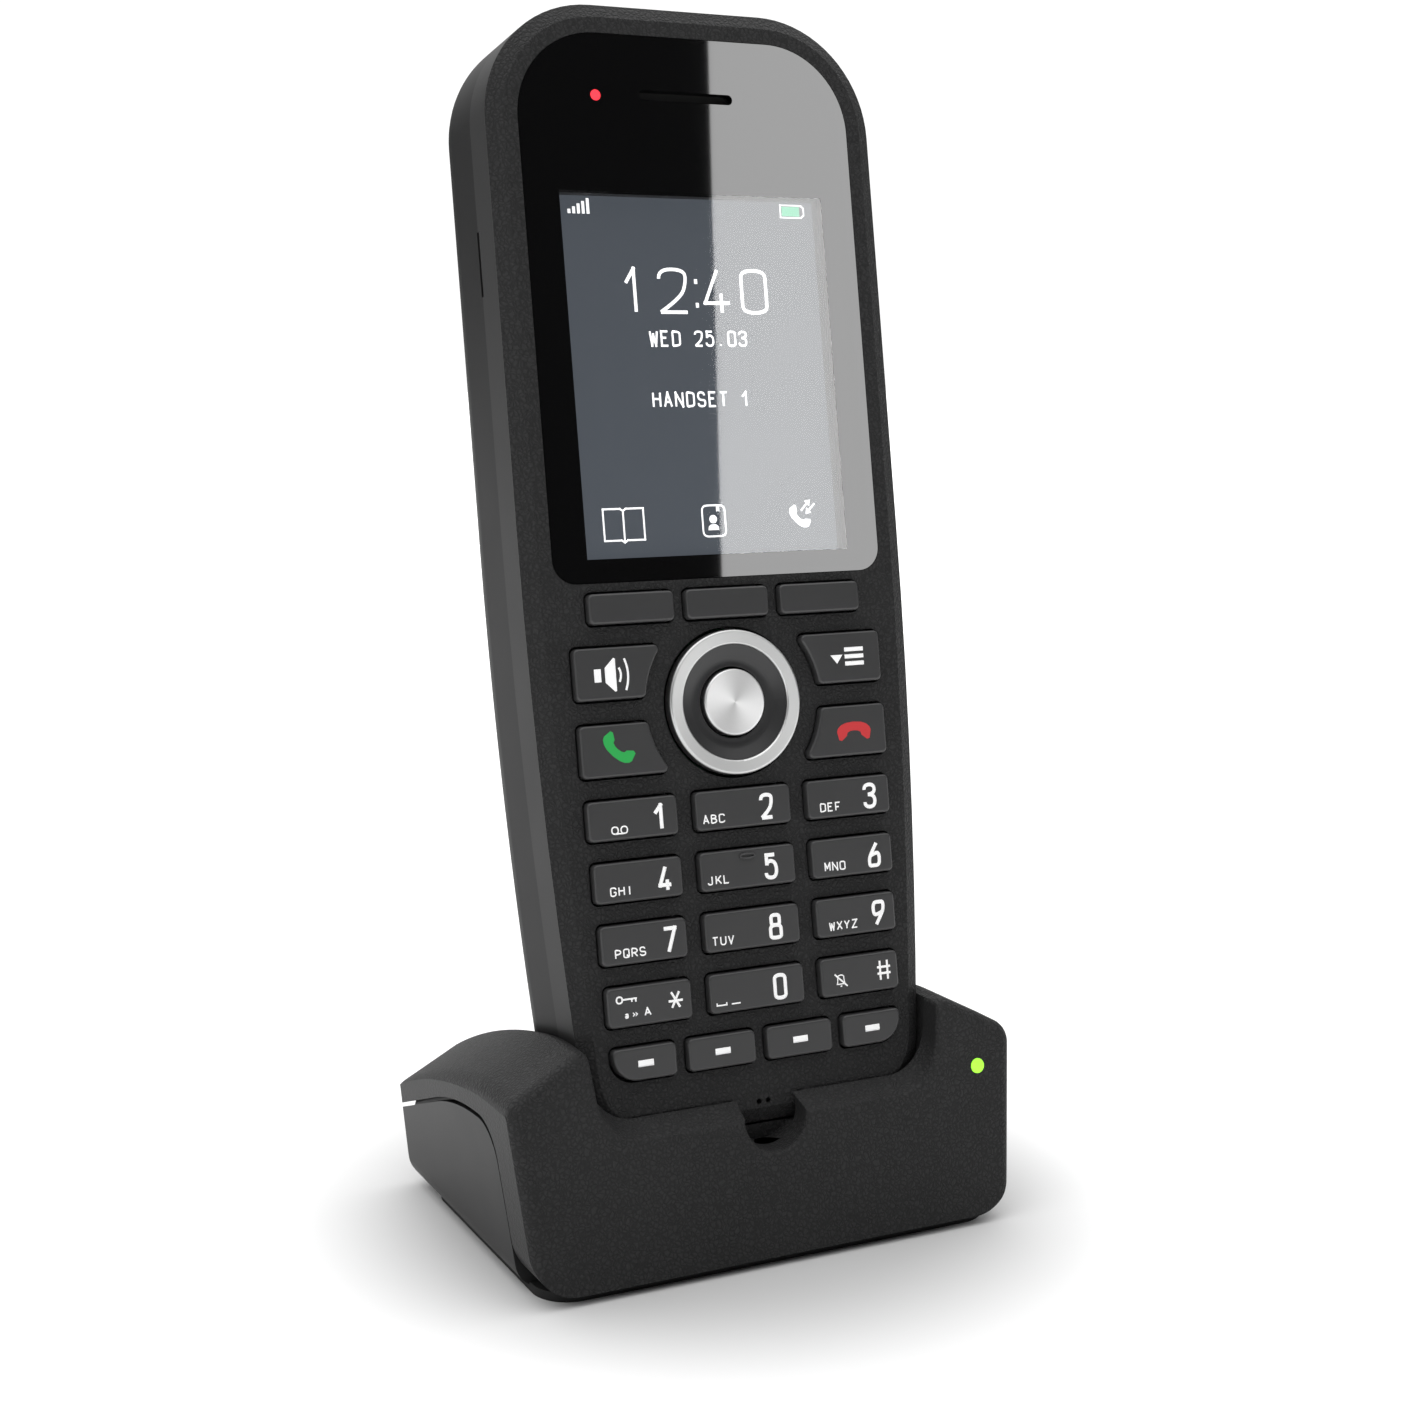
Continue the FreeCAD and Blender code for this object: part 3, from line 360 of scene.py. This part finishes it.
def leather_plastic(finish, grained, lumps, plain, rough, rougher):
    """Colour and gloss of black plastic, with leather grain where grained is one. Gives the height."""
    cloud, height = finish.noise(lumps, 3), leather(finish)
    shade = (cloud * 0.25 + height * 0.6) * grained + (1 - grained) * plain
    finish.set(Base_Color=finish.mix(shade, *shades(BLACK, 0.55, 1.5)),
               Roughness=grained * rougher + cloud * 0.06 + rough)
    return height * grained


def matt_plastic(name, colour, rough, fine=0.12, **more):
    """Fine-textured dark plastic with slight unevenness in its gloss."""
    finish = Finish(name, **more)
    cloud = finish.noise(9, 3)
    finish.set(Base_Color=finish.mix(cloud, *shades(colour, 0.93, 1.08)),
               Roughness=cloud * 0.06 + (rough - 0.03),
               Normal=finish.bump(finish.noise(fine, 2.0), 0.006, 0.5))
    return finish


BLACK = (0.028, 0.028, 0.0284)
SOOT = (0.018, 0.018, 0.0183)
GRAIN_DEPTH = 0.09

case_front = Finish("case_leather_grain", Specular_IOR_Level=0.15)
depth = case_front.along(-OUT_OF_FACE, SEAT)
grained = 1 - case_front.ramp(depth, 1.15, 1.3)
height = leather_plastic(case_front, grained, 11, 0.35, 0.44, 0.08)
case_front.set(Normal=case_front.bump(height + case_front.noise(0.12, 2) * 0.06, GRAIN_DEPTH))

shell = Finish("base_leather_grain", Specular_IOR_Level=0.18)
facing = shell.node("ShaderNodeNewGeometry", out="Normal")
sideways = shell.node("ShaderNodeVectorMath", {"operation": "DOT_PRODUCT"}, {0: facing, 1: (1, 0, 0)},
                      out="Value")
grained = 1 - shell.ramp(abs(sideways), 0.9, 0.97) * 0.75
height = leather_plastic(shell, grained, 12, 0.4, 0.42, 0.1)
shell.set(Normal=shell.bump(height, GRAIN_DEPTH))

case_back = matt_plastic("case_fine_matt", SOOT, 0.42, Specular_IOR_Level=0.07)
tub = matt_plastic("base_fine_matt", SOOT, 0.45, Specular_IOR_Level=0.22)
dress(case_front, "front_housing")
dress(case_back, "rear_housing", "battery_cover")
dress(shell, "front_cover")
dress(tub, "lower_housing")
print("four plastics")

# %% [markdown]
# ## Keys
#
# Each key is a hard cap of slightly lighter plastic with a satin face, and it carries a white legend.

# %% Key plastic
KEY_GREY = (0.047, 0.047, 0.048)
key_plastic = matt_plastic("key_satin", KEY_GREY, 0.36, 0.09)
keys = [name for name in parts if name.startswith("key_") and name != "key_ok"]
dress(key_plastic, *keys)
print(len(keys), "keys")

# %% [markdown]
# ## The round pad
#
# A turned silver ring runs round a dark dished rocker, and a spun silver button stands in the middle. Spun
# metal has fine grooves round its centre, and they throw light as a fan of wedges. Here that fan is painted
# highlight and shade in the colour, by the angle about the centre; the fine rings follow the distance from
# it.


# %% Metal finishes
PAD_HEIGHT = 54.17


def spun_metal(name, colour, rough, painted_fan):
    """Metal turned on a lathe: fine rings, and a fan of lighter and darker wedges of painted highlight and
    shade.
    """
    finish = Finish(name, Metallic=1.0)
    centre = FACE @ Vector((0, PAD_HEIGHT, 0))
    across, up = finish.along((1, 0, 0), centre), finish.along(UP_THE_FACE, centre)
    angle = up.maths("ARCTAN2", across)
    out = (across * across + up * up).maths("SQRT")
    # painted highlight and shade: wedges lighter and darker by the angle about the centre, fixed in the
    # colour
    painted_wedges = (angle * 2 + 0.9).maths("COSINE") * 0.5 + 0.5
    rings = finish.node("ShaderNodeTexNoise", {"noise_dimensions": "1D"},
                        {"W": out, "Scale": 14.0, "Detail": 2.0})
    finish.set(Base_Color=finish.mix(painted_wedges * painted_fan + rings * 0.15, *shades(colour, 0.55, 1)),
               Roughness=rings * 0.12 + rough)
    finish.set(Normal=finish.bump(rings, 0.004, 0.4))
    return finish


dress(spun_metal("spun_button", (0.93, 0.93, 0.93), 0.3, 0.8), "key_ok")
dress(spun_metal("turned_ring", (0.9, 0.905, 0.9), 0.28, 0.35), "pad_trim")
dress(matt_plastic("rocker_satin", (0.03, 0.03, 0.031), 0.34), "pad_rocker")
dress(matt_plastic("pivot_moulding", SOOT, 0.5), "pad_pivot")
print("ring, rocker and button")

# %% [markdown]
# ## Glass and display
#
# The glass is clear, printed black on its back all round the window. The print belongs to the glass, so one
# finish covers both: opaque gloss black outside the window, and inside it clear glass that only mirrors, and
# only on its outer face. The window is where the gasket behind the glass leaves the panel bare.

# %% Glass
low, high = on_sheet("display_gasket")
GASKET = 1.1
left, right, foot, head = low.x + GASKET, high.x - GASKET, low.y + GASKET, high.y - GASKET

pane = Finish("printed_glass", Base_Color=(0.0012, 0.0012, 0.0013), Roughness=0.02, IOR=1.52,
              Specular_IOR_Level=0.62)
across, up = pane.along((1, 0, 0), SEAT), pane.along(UP_THE_FACE, SEAT)
clear = (across > left) * (across < right) * (up > foot) * (up < head)
through = pane.node("ShaderNodeBsdfTransparent")
mirror = pane.node("ShaderNodeBsdfGlossy", {}, {"Color": (1, 1, 1), "Roughness": 0.02})
sheen = pane.node("ShaderNodeFresnel", {}, {"IOR": 1.68})
inside = pane.node("ShaderNodeNewGeometry", out="Backfacing")
glazing = pane.node("ShaderNodeMixShader", {}, {0: sheen * (1 - inside), 1: through, 2: mirror})
black = Signal(pane, pane.shader.outputs[0])
whole = pane.node("ShaderNodeMixShader", {}, {0: clear, 1: black, 2: glazing})
pane.tree.links.new(whole.socket, pane.tree.nodes["Material Output"].inputs["Surface"])
dress(pane, "display_glass")
print("window", round(right - left, 2), "by", round(head - foot, 2), "mm")

# %% Display, gasket and lights
SLATE = (0.072, 0.083, 0.098)
panel = Finish("lit_panel", Base_Color=(0.01, 0.01, 0.012), Roughness=0.35)
# painted shade: the panel's glow is a little darker towards the top, as in the bezel's shadow
tall = panel.ramp(panel.along(UP_THE_FACE, SEAT), foot, head, smooth=False)
panel.set(Emission_Color=panel.mix(tall, *shades(SLATE, 1.02, 0.94)), Emission_Strength=1.0)
dress(panel, "display_module")
dress(matt_plastic("gasket_foam", (0.02, 0.02, 0.022), 0.6), "display_gasket")

red = Finish("red_lens", Base_Color=(0.75, 0.02, 0.03), Roughness=0.2, Emission_Strength=1.3)
glow_spot = red.noise(0.6, 1)
red.set(Emission_Color=red.mix(glow_spot, (0.95, 0.03, 0.05), (1.0, 0.07, 0.09)))
dress(red, "status_lens")
green = Finish("green_lens", Base_Color=(0.25, 0.7, 0.03), Roughness=0.2, Emission_Strength=1.0)
glow_spot = green.noise(0.8, 1)
green.set(Emission_Color=green.mix(glow_spot, (0.28, 0.85, 0.03), (0.42, 1.0, 0.06)))
dress(green, "base_light")
print("display and lenses")

# %% [markdown]
# ## Rubber, metal and the inner pieces
#
# Lifting the handset or the battery cover shows more: sprung gold pins, the battery in its wrap, the boards.

# %% Inner finishes
rubber = matt_plastic("black_rubber", (0.012, 0.012, 0.012), 0.75, 0.3)
mesh_cloth = Finish("ear_cloth", Roughness=0.8)
u, v = mesh_cloth.along((1, 0, 0), SEAT), mesh_cloth.along(UP_THE_FACE, SEAT)
THREADS = 22
weave = (u * THREADS).maths("SINE") * (v * THREADS).maths("SINE")
mesh_cloth.set(Base_Color=mesh_cloth.mix(weave * 0.5 + 0.5, (0.004, 0.004, 0.004), (0.02, 0.02, 0.02)),
               Normal=mesh_cloth.bump(weave, 0.05, 0.8))


def metal(name, colour, rough):
    """Bare metal, a little worn."""
    finish = Finish(name, Metallic=1.0)
    worn = finish.noise(1.5, 4)
    finish.set(Base_Color=finish.mix(worn, *shades(colour, 0.85, 1)),
               Roughness=worn * 0.15 + rough, Normal=finish.bump(finish.noise(0.1, 2), 0.004, 0.3))
    return finish


board = Finish("circuit_board", Roughness=0.4)
tracks = board.node("ShaderNodeTexBrick", {"offset": 0.3},
                    {"Vector": board.place, "Scale": 260.0, "Mortar Size": 0.03,
                     "Color1": (0.01, 0.09, 0.035), "Color2": (0.012, 0.11, 0.04),
                     "Mortar": (0.03, 0.17, 0.07)})
board.set(Base_Color=tracks, Normal=board.bump(board.noise(0.8, 2), 0.03, 0.4))

wrap = Finish("battery_wrap", Roughness=0.32)
band = wrap.along(UP_THE_FACE, SEAT)
stripe = (band > 58) * (band < 66)
wrap.set(Base_Color=wrap.mix(stripe, (0.03, 0.032, 0.036), (0.3, 0.31, 0.33)),
         Normal=wrap.bump(wrap.noise(6, 3), 0.15, 0.5))

dress(rubber, "rubber_pad")
dress(mesh_cloth, "earpiece_mesh")
dress(metal("gold_contact", (1.0, 0.72, 0.3), 0.22),
      "charge_pins", "charge_pads", "battery_contacts", "antenna")
dress(metal("plated_steel", (0.6, 0.6, 0.58), 0.3), "board_screws", "base_screws", "ballast_plate")
dress(metal("driver_can", (0.35, 0.35, 0.36), 0.35), "earpiece", "microphone", "ringer_speaker")
dress(board, "main_board", "base_board")
dress(wrap, "battery_pack")
dress(matt_plastic("silicone_mat", (0.3, 0.3, 0.31), 0.6, 0.3), "keypad_mat")
dress(matt_plastic("black_moulding", (0.015, 0.015, 0.015), 0.4), "power_socket", "contact_block")
bare = [name for name, part in parts.items() if not part.data.materials or
        not part.data.materials[0].use_nodes or len(part.data.materials[0].node_tree.nodes) < 4]
print("parts still without a finish:", bare)

# %% [markdown]
# ## Printing
#
# The legends are thin prints, a few hundredths of a millimetre high, so they catch no shadow but are solid.
# Their letters are the plain engineering kind, drawn with one even stroke. That is also how they are made: a
# letter is a few strokes on a grid of ten by ten, a stroke is a curve with a round section, and the section
# is then pressed flat. A smooth stroke is a NURBS curve of order three, which rounds its control polygon.

# %% The alphabet
# A stroke is straight (-), smooth and open (~) or smooth and closed (o), then come its grid points.
GLYPHS = {
    "0": "o 00 03 06 09 99 96 93 90", "1": "- 06 59 50", "2": "~ 07 09 99 96 73 00/- 00 90",
    "3": "~ 07 09 99 95 35/~ 35 95 90 00 02", "4": "- 59 02 92/- 64 60",
    "5": "- 89 19 15/~ 15 27 96 90 00 02", "6": "~ 79 25 03 00 30 90 95 55 14", "7": "- 09 99 30",
    "8": "o 19 17 15 85 87 89/o 00 02 05 95 92 90", "9": "~ 20 74 96 99 69 09 04 44 85",
    "A": "- 00 49 90/- 13 83", "B": "- 00 09/~ 09 89 85 05/~ 05 95 90 00/- 09 39/- 05 35/- 00 30",
    "C": "~ 97 99 09 06 03 00 90 92", "D": "- 09 00/~ 09 99 96 93 90 00/- 09 39/- 00 30",
    "E": "- 89 09 00 80/- 05 65", "F": "- 89 09 00/- 04 64", "G": "~ 97 99 09 06 03 00 90 94/- 94 54",
    "H": "- 00 09/- 90 99/- 05 95", "I": "- 40 49", "J": "~ 02 00 70 73 79",
    "K": "- 00 09/- 99 03/- 35 90", "L": "- 09 00 80", "M": "- 00 09 43 99 90", "N": "- 00 09 90 99",
    "O": "o 00 03 06 09 99 96 93 90", "P": "- 00 09/~ 09 99 94 04/- 09 39/- 04 34",
    "Q": "o 00 03 06 09 99 96 93 90/- 53 90", "R": "- 00 09/~ 09 99 94 04/- 09 39/- 04 34/- 44 90",
    "S": "~ 87 89 09 05 44 94 90 00 02", "T": "- 09 99/- 49 40", "U": "~ 09 06 00 90 96 99",
    "V": "- 09 40 99", "W": "- 09 20 47 70 99", "X": "- 00 99/- 09 90", "Y": "- 09 44 99/- 44 40",
    "Z": "- 09 99 00 90", "#": "- 20 29/- 70 79/- 03 93/- 06 96", "*": "- 04 94/- 21 78/- 28 71",
    ".": "- 40 41", ":": "- 41 42/- 46 47", "a": "~ 05 16 76 74 70/o 00 03 73 70",
    ">": "- 06 33 00/- 56 83 50",
}


class Print:
    """Strokes and filled shapes on the drawing sheet, in millimetres, at one height above the face."""

    def __init__(self, height, thick=0.02):
        self.height = height
        self.thick = thick
        self.solid = bmesh.new()

    def strokes(self, lines, wide):
        """Lines are (kind, points). Straight ones are split at their corners and overlap there."""
        curve = bpy.data.curves.new("pen", "CURVE")
        curve.dimensions = "3D"
        curve.bevel_depth = wide / 2
        curve.bevel_resolution = 1
        curve.use_fill_caps = True
        for kind, points in lines:
            if kind == "-":
                for i, (start, end) in enumerate(zip(points, points[1:])):
                    step = (Vector(end) - Vector(start)).normalized() * wide / 2
                    first = Vector(start) - step * (i > 0)
                    last = Vector(end) + step * (i < len(points) - 2)
                    spline = curve.splines.new("POLY")
                    spline.points.add(1)
                    spline.points[0].co = (*first, 0, 1)
                    spline.points[1].co = (*last, 0, 1)
            else:
                spline = curve.splines.new("NURBS")
                spline.points.add(len(points) - 1)
                for point, at in zip(spline.points, points):
                    point.co = (*at, 0, 1)
                spline.order_u = 3
                spline.use_endpoint_u = kind == "~"
                spline.use_cyclic_u = kind == "o"
                spline.resolution_u = 5
        pen = bpy.data.objects.new("pen", curve)
        bpy.context.scene.collection.objects.link(pen)
        shape = bpy.data.meshes.new_from_object(pen.evaluated_get(bpy.context.evaluated_depsgraph_get()))
        shape.transform(Matrix.Scale(2 * self.thick / wide, 4, (0, 0, 1)))
        self.solid.from_mesh(shape)
        bpy.data.objects.remove(pen)
        return self

    def plate(self, *corners):
        """A filled shape between corners."""
        ring = [self.solid.verts.new((*at, -self.thick)) for at in corners]
        face = self.solid.faces.new(ring)
        raised = bmesh.ops.extrude_face_region(self.solid, geom=[face])["geom"]
        bmesh.ops.translate(self.solid, verts=[v for v in raised if isinstance(v, bmesh.types.BMVert)],
                            vec=(0, 0, 2 * self.thick))
        return self

    def disc(self, centre, radius):
        return self.plate(*[(centre[0] + radius * math.cos(turn), centre[1] + radius * math.sin(turn))
                            for turn in (math.tau * i / 24 for i in range(24))])

    def write(self, text, left, base, tall, wide, pitch, stroke):
        """Letters in a row. Left and base are the outer edges of the first letter's strokes."""
        for i, letter in enumerate(text):
            for line in GLYPHS.get(letter, "").split("/"):
                if line:
                    kind, *places = line.split()
                    self.strokes([(kind, [(left + i * pitch + stroke / 2 + int(x) / 9 * (wide - stroke),
                                           base + stroke / 2 + int(y) / 9 * (tall - stroke))
                                          for x, y in places])], stroke)
        return self

    def done(self, name, body, finish, slot):
        """Put the print on the telephone."""
        bmesh.ops.recalc_face_normals(self.solid, faces=self.solid.faces)
        mesh = bpy.data.meshes.new(name)
        self.solid.to_mesh(mesh)
        self.solid.free()
        mesh.transform(FACE @ Matrix.Translation((0, 0, self.height)))
        piece = bpy.data.objects.new(name, mesh)
        bpy.context.scene.collection.objects.link(piece)
        dress(finish, piece)
        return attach(piece, body)


print(len(GLYPHS), "letters and signs")

# %% [markdown]
# ## Inks
#
# Printed ink is matt and hardly ever quite even, so a trace of noise goes into its colour. The inks on the
# keys are no lamps, yet they get a weak painted glow; the display's lit signs glow for real.


# %% Ink finishes
def ink(name, colour, glow):
    """Printed ink, or a lit sign; glow is how strongly it shines by itself."""
    finish = Finish(name, Roughness=0.55, Emission_Strength=glow)
    uneven = finish.mix(finish.noise(0.2, 2), *shades(colour, 0.94, 1))
    finish.set(Base_Color=uneven, Emission_Color=uneven)
    return finish


# painted light: the key inks glow a little by themselves
white_ink = ink("white_ink", (0.9, 0.9, 0.9), 0.3)
green_ink = ink("green_ink", (0.02, 0.42, 0.08), 0.1)
red_ink = ink("red_ink", (0.62, 0.035, 0.04), 0.1)
lit_white = ink("lit_white", (0.95, 0.96, 0.97), 0.9)
lit_green = ink("lit_green", (0.1, 0.55, 0.3), 0.5)
print("five inks")

# %% [markdown]
# ## Legends on the number keys
#
# The digit stands right of the middle, the letters start near the left edge, close to the key's foot. Four
# keys carry a small picture as well, or in place of the letters.

# %% Digits and letters
LETTERS = {"2": "ABC", "3": "DEF", "4": "GHI", "5": "JKL", "6": "MNO", "7": "PQRS", "8": "TUV", "9": "WXYZ"}
DIGIT_FROM = {"left": -11.75, "middle": 2.05, "right": 16.15}
LETTERS_FROM = {"left": -17.85, "middle": -5.45, "right": 10.15}
OTHER_NAMES = {"*": "star", "#": "hash"}
FINE, THIN = 0.17, 0.14


def reels(legend, low, high):
    """Voicemail: two rings on a line."""
    y = low.y + 1.15
    for x in (-16.65, -15.5):
        legend.strokes([("o", [(x - 0.4, y - 0.4), (x - 0.4, y + 0.4), (x + 0.4, y + 0.4),
                               (x + 0.4, y - 0.4)])], FINE)
    legend.strokes([("-", [(-16.65, y - 0.4), (-15.5, y - 0.4)])], FINE)


def lock_and_case(legend, low, high):
    """A key for the keypad lock, and the change from small to capital letters."""
    y = high.y - 1.4
    legend.strokes([("o", [(-18.1, y - 0.36), (-18.1, y + 0.36), (-17.38, y + 0.36), (-17.38, y - 0.36)]),
                    ("-", [(-17.45, y), (-15.55, y)]), ("-", [(-15.7, y), (-15.7, y - 0.4)]),
                    ("-", [(-16.2, y), (-16.2, y - 0.35)])], 0.2)
    legend.write("a", -17.2, low.y + 1.0, 0.8, 0.55, 0, 0.16)
    legend.write(">", -16.25, low.y + 1.1, 0.75, 0.75, 0, 0.13)
    legend.write("A", -14.75, low.y + 1.0, 1.0, 0.9, 0, 0.18)


def spaces(legend, low, high):
    """A word space and a dash."""
    y = low.y + 0.95
    legend.strokes([("-", [(-5.45, y + 0.3), (-5.45, y), (-4.2, y), (-4.2, y + 0.3)]),
                    ("-", [(-3.55, y), (-2.4, y)])], FINE)


def silent_bell(legend, low, high):
    """A bell, struck through, for switching the ringer off."""
    x, y = 11.2, (low.y + high.y) / 2 - 0.45
    legend.strokes([("~", [(x - 0.5, y - 0.35), (x - 0.42, y), (x - 0.42, y + 0.65),
                           (x + 0.42, y + 0.65), (x + 0.42, y), (x + 0.5, y - 0.35)]),
                    ("-", [(x - 0.62, y - 0.42), (x + 0.62, y - 0.42)]),
                    ("-", [(x - 0.12, y - 0.68), (x + 0.12, y - 0.68)])], THIN)
    legend.strokes([("-", [(x - 0.8, y + 0.8), (x + 0.85, y - 0.75)])], 0.2)


PICTURES = {"1": reels, "*": lock_and_case, "0": spaces, "#": silent_bell}
for row in ("123", "456", "789", "*0#"):
    for column, sign in zip(DIGIT_FROM, row):
        name = OTHER_NAMES.get(sign, sign)
        low, high = on_sheet("key_" + name)
        tall, wide, stroke, lift = (3.15, 1.85, 0.46, -0.1) if sign.isdigit() else (2.6, 2.1, 0.28, 0.1)
        legend = Print(high.z).write(sign, DIGIT_FROM[column], (low.y + high.y - tall) / 2 + lift,
                                     tall, wide, 0, stroke)
        if sign in LETTERS:
            legend.write(LETTERS[sign], LETTERS_FROM[column], low.y + 0.76, 1.1, 0.82, 1.03, FINE)
        if sign in PICTURES:
            PICTURES[sign](legend, low, high)
        legend.done("legend_" + name, "key_" + name, white_ink, "key_plastic")
print("twelve legends")

# %% [markdown]
# ## Signs on the other keys
#
# A loudspeaker, a menu sign, a green and a red receiver, and a dash on each of the four lowest keys.


# %% Signs
HALF_RECEIVER = [(-0.21, -0.115), (-0.36, -0.23), (-0.438, -0.21), (-0.486, 0.0), (-0.455, 0.08),
                 (-0.36, 0.16), (-0.22, 0.21), (0, 0.23)]


def receiver(sheet, centre, size, turn):
    """A telephone receiver: a bent handle with a pad at each end, its back upwards before it is turned."""
    right = [(-x, y) for x, y in reversed(HALF_RECEIVER[:-1])]
    inner = [(0.19, -0.04), (0.105, 0.0), (0, 0.01), (-0.105, 0.0), (-0.19, -0.04)]
    spin = Matrix.Rotation(math.radians(turn), 2) * size
    return sheet.plate(*[tuple(spin @ Vector(at) + Vector(centre)) for at in HALF_RECEIVER + right + inner])


def face_of(name):
    return on_sheet(name)[1].z


speaker = Print(face_of("key_speaker"))
speaker.plate((-17.75, 57.6), (-16.9, 57.6), (-16.9, 59.1), (-17.75, 59.1))
speaker.plate((-16.4, 57.5), (-15.25, 56.4), (-15.05, 56.5), (-15.05, 60.2), (-15.25, 60.3), (-16.4, 59.2))
speaker.strokes([("~", [(-14.65, 59.15), (-14.2, 58.35), (-14.65, 57.5)]),
                 ("~", [(-13.9, 60.15), (-13.15, 58.35), (-13.9, 56.5)])], 0.27)
speaker.done("sign_speaker", "key_speaker", white_ink, "key_plastic")

menu = Print(face_of("key_menu"))
menu.plate((13.15, 58.85), (14.0, 57.8), (14.8, 58.85))
for y in (59.45, 58.6, 57.75):
    menu.strokes([("-", [(15.1, y), (17.7, y)])], 0.5)
menu.done("sign_menu", "key_menu", white_ink, "key_plastic")

green_receiver = receiver(Print(face_of("key_call")), (-15.5, 49.85), 4.6, 137)
green_receiver.done("sign_call", "key_call", green_ink, "key_plastic")
red_receiver = receiver(Print(face_of("key_end")), (15.6, 49.6), 4.8, 0)
red_receiver.done("sign_end", "key_end", red_ink, "key_plastic")
for name in ("left_outer", "left_inner", "right_inner", "right_outer"):
    low, high = on_sheet("key_" + name)
    x, y = (low.x + high.x) / 2, (low.y + high.y) / 2
    dash = Print(high.z).strokes([("-", [(x - 0.98, y), (x + 0.98, y)])], 0.75)
    dash.done("sign_" + name, "key_" + name, white_ink, "key_plastic")
print("eight signs")

# %% [markdown]
# ## The pip on the five
#
# A finger finds the five by a low raised oval at the key's upper edge. It is a small ring with a round
# section, so the same pen makes it.

# %% Pip
low, high = on_sheet("key_5")
upper, lower = high.y - 0.65, high.y - 1.05
ring = [(-1.0, lower), (-1.0, upper), (-0.1, upper + 0.05), (0.85, upper), (0.85, lower),
        (-0.1, lower - 0.05)]
pip = Print(high.z, thick=0.3).strokes([("o", ring)], 0.28)
pip.done("pip_5", "key_5", key_plastic, "key_plastic")
print("one pip")

# %% [markdown]
# ## The picture on the display
#
# The display shows the time, the date, the handset's name and three signs. They are lit prints that stand a
# hair above the panel, behind the glass, and each sign is a piece of its own.

# %% The picture
low, high = on_sheet("display_module")
LEVEL = high.z + 0.02


def lit(name, sheet, finish=lit_white):
    return sheet.done(name, "handset", finish, "display")


bars = Print(LEVEL)
for i, tall in enumerate((0.5, 0.8, 1.15, 1.45, 1.8)):
    bars.plate((-15.25 + 0.6 * i, 112.1), (-14.9 + 0.6 * i, 112.1), (-14.9 + 0.6 * i, 112.1 + tall),
               (-15.25 + 0.6 * i, 112.1 + tall))
lit("screen_bars", bars)
frame_line = [("-", [(12.7, 112.35), (12.7, 113.85), (15.5, 113.85), (15.9, 113.5), (15.9, 112.7),
                     (15.5, 112.35), (12.6, 112.35)])]
lit("screen_battery", Print(LEVEL).strokes(frame_line, 0.16))
lit("screen_charge", Print(LEVEL).plate((12.9, 112.53), (15.3, 112.53), (15.3, 113.67), (12.9, 113.67)),
    lit_green)
clock = Print(LEVEL)
for sign, start, wide in (("1", -8.8, 2.4), ("2", -4.5, 3.9), (":", -0.5, 2.3), ("4", 1.4, 3.7),
                          ("0", 6.4, 3.7)):
    clock.write(sign, start, 100.5, 5.5, wide, 0, 0.42)
lit("screen_clock", clock)
lit("screen_date", Print(LEVEL).write("WED 25.03", -6.1, 96.6, 1.95, 1.18, 1.47, 0.26))
lit("screen_name", Print(LEVEL).write("HANDSET 1", -6.3, 89.4, 1.9, 1.15, 1.47, 0.25))

book = Print(LEVEL).strokes([("-", [(-13.75, 73.95), (-13.75, 77.65), (-11.6, 77.65), (-11.2, 77.4),
                                    (-10.8, 77.65), (-8.6, 77.65), (-8.6, 73.95), (-10.8, 73.95),
                                    (-11.2, 73.7), (-11.6, 73.95), (-13.85, 73.95)]),
                             ("-", [(-11.2, 77.4), (-11.2, 73.8)])], 0.22)
lit("screen_book", book)
card_edge = [(-0.95, 74.0), (-0.95, 75.3), (-0.95, 76.4), (-0.95, 77.7), (0.5, 77.7),
             (2.05, 77.7), (2.05, 76.4), (2.05, 75.3), (2.05, 74.0), (0.5, 74.0)]
card = Print(LEVEL).strokes([("o", card_edge)], 0.22)
card.disc((0.45, 76.05), 0.5)
card.plate((-0.25, 74.75), (1.15, 74.75), (1.1, 75.15), (0.8, 75.42), (0.1, 75.42), (-0.2, 75.15))
card.plate((0.95, 77.7), (1.35, 77.7), (1.35, 76.9), (1.15, 77.05), (0.95, 76.9))
lit("screen_card", card)
calls = receiver(Print(LEVEL), (12.1, 75.9), 3.4, 137)
for tip, tail in (((13.7, 78.0), (12.4, 76.7)), ((13.0, 76.3), (14.3, 77.5))):
    back = (Vector(tail) - Vector(tip)).normalized()
    across = Vector((-back.y, back.x))
    calls.strokes([("-", [tuple(Vector(tip) + back * 0.4), tail])], 0.24)
    calls.plate(tip, *[tuple(Vector(tip) + back * 0.65 + across * side) for side in (0.45, -0.45)])
lit("screen_calls", calls)
print("the display's picture")
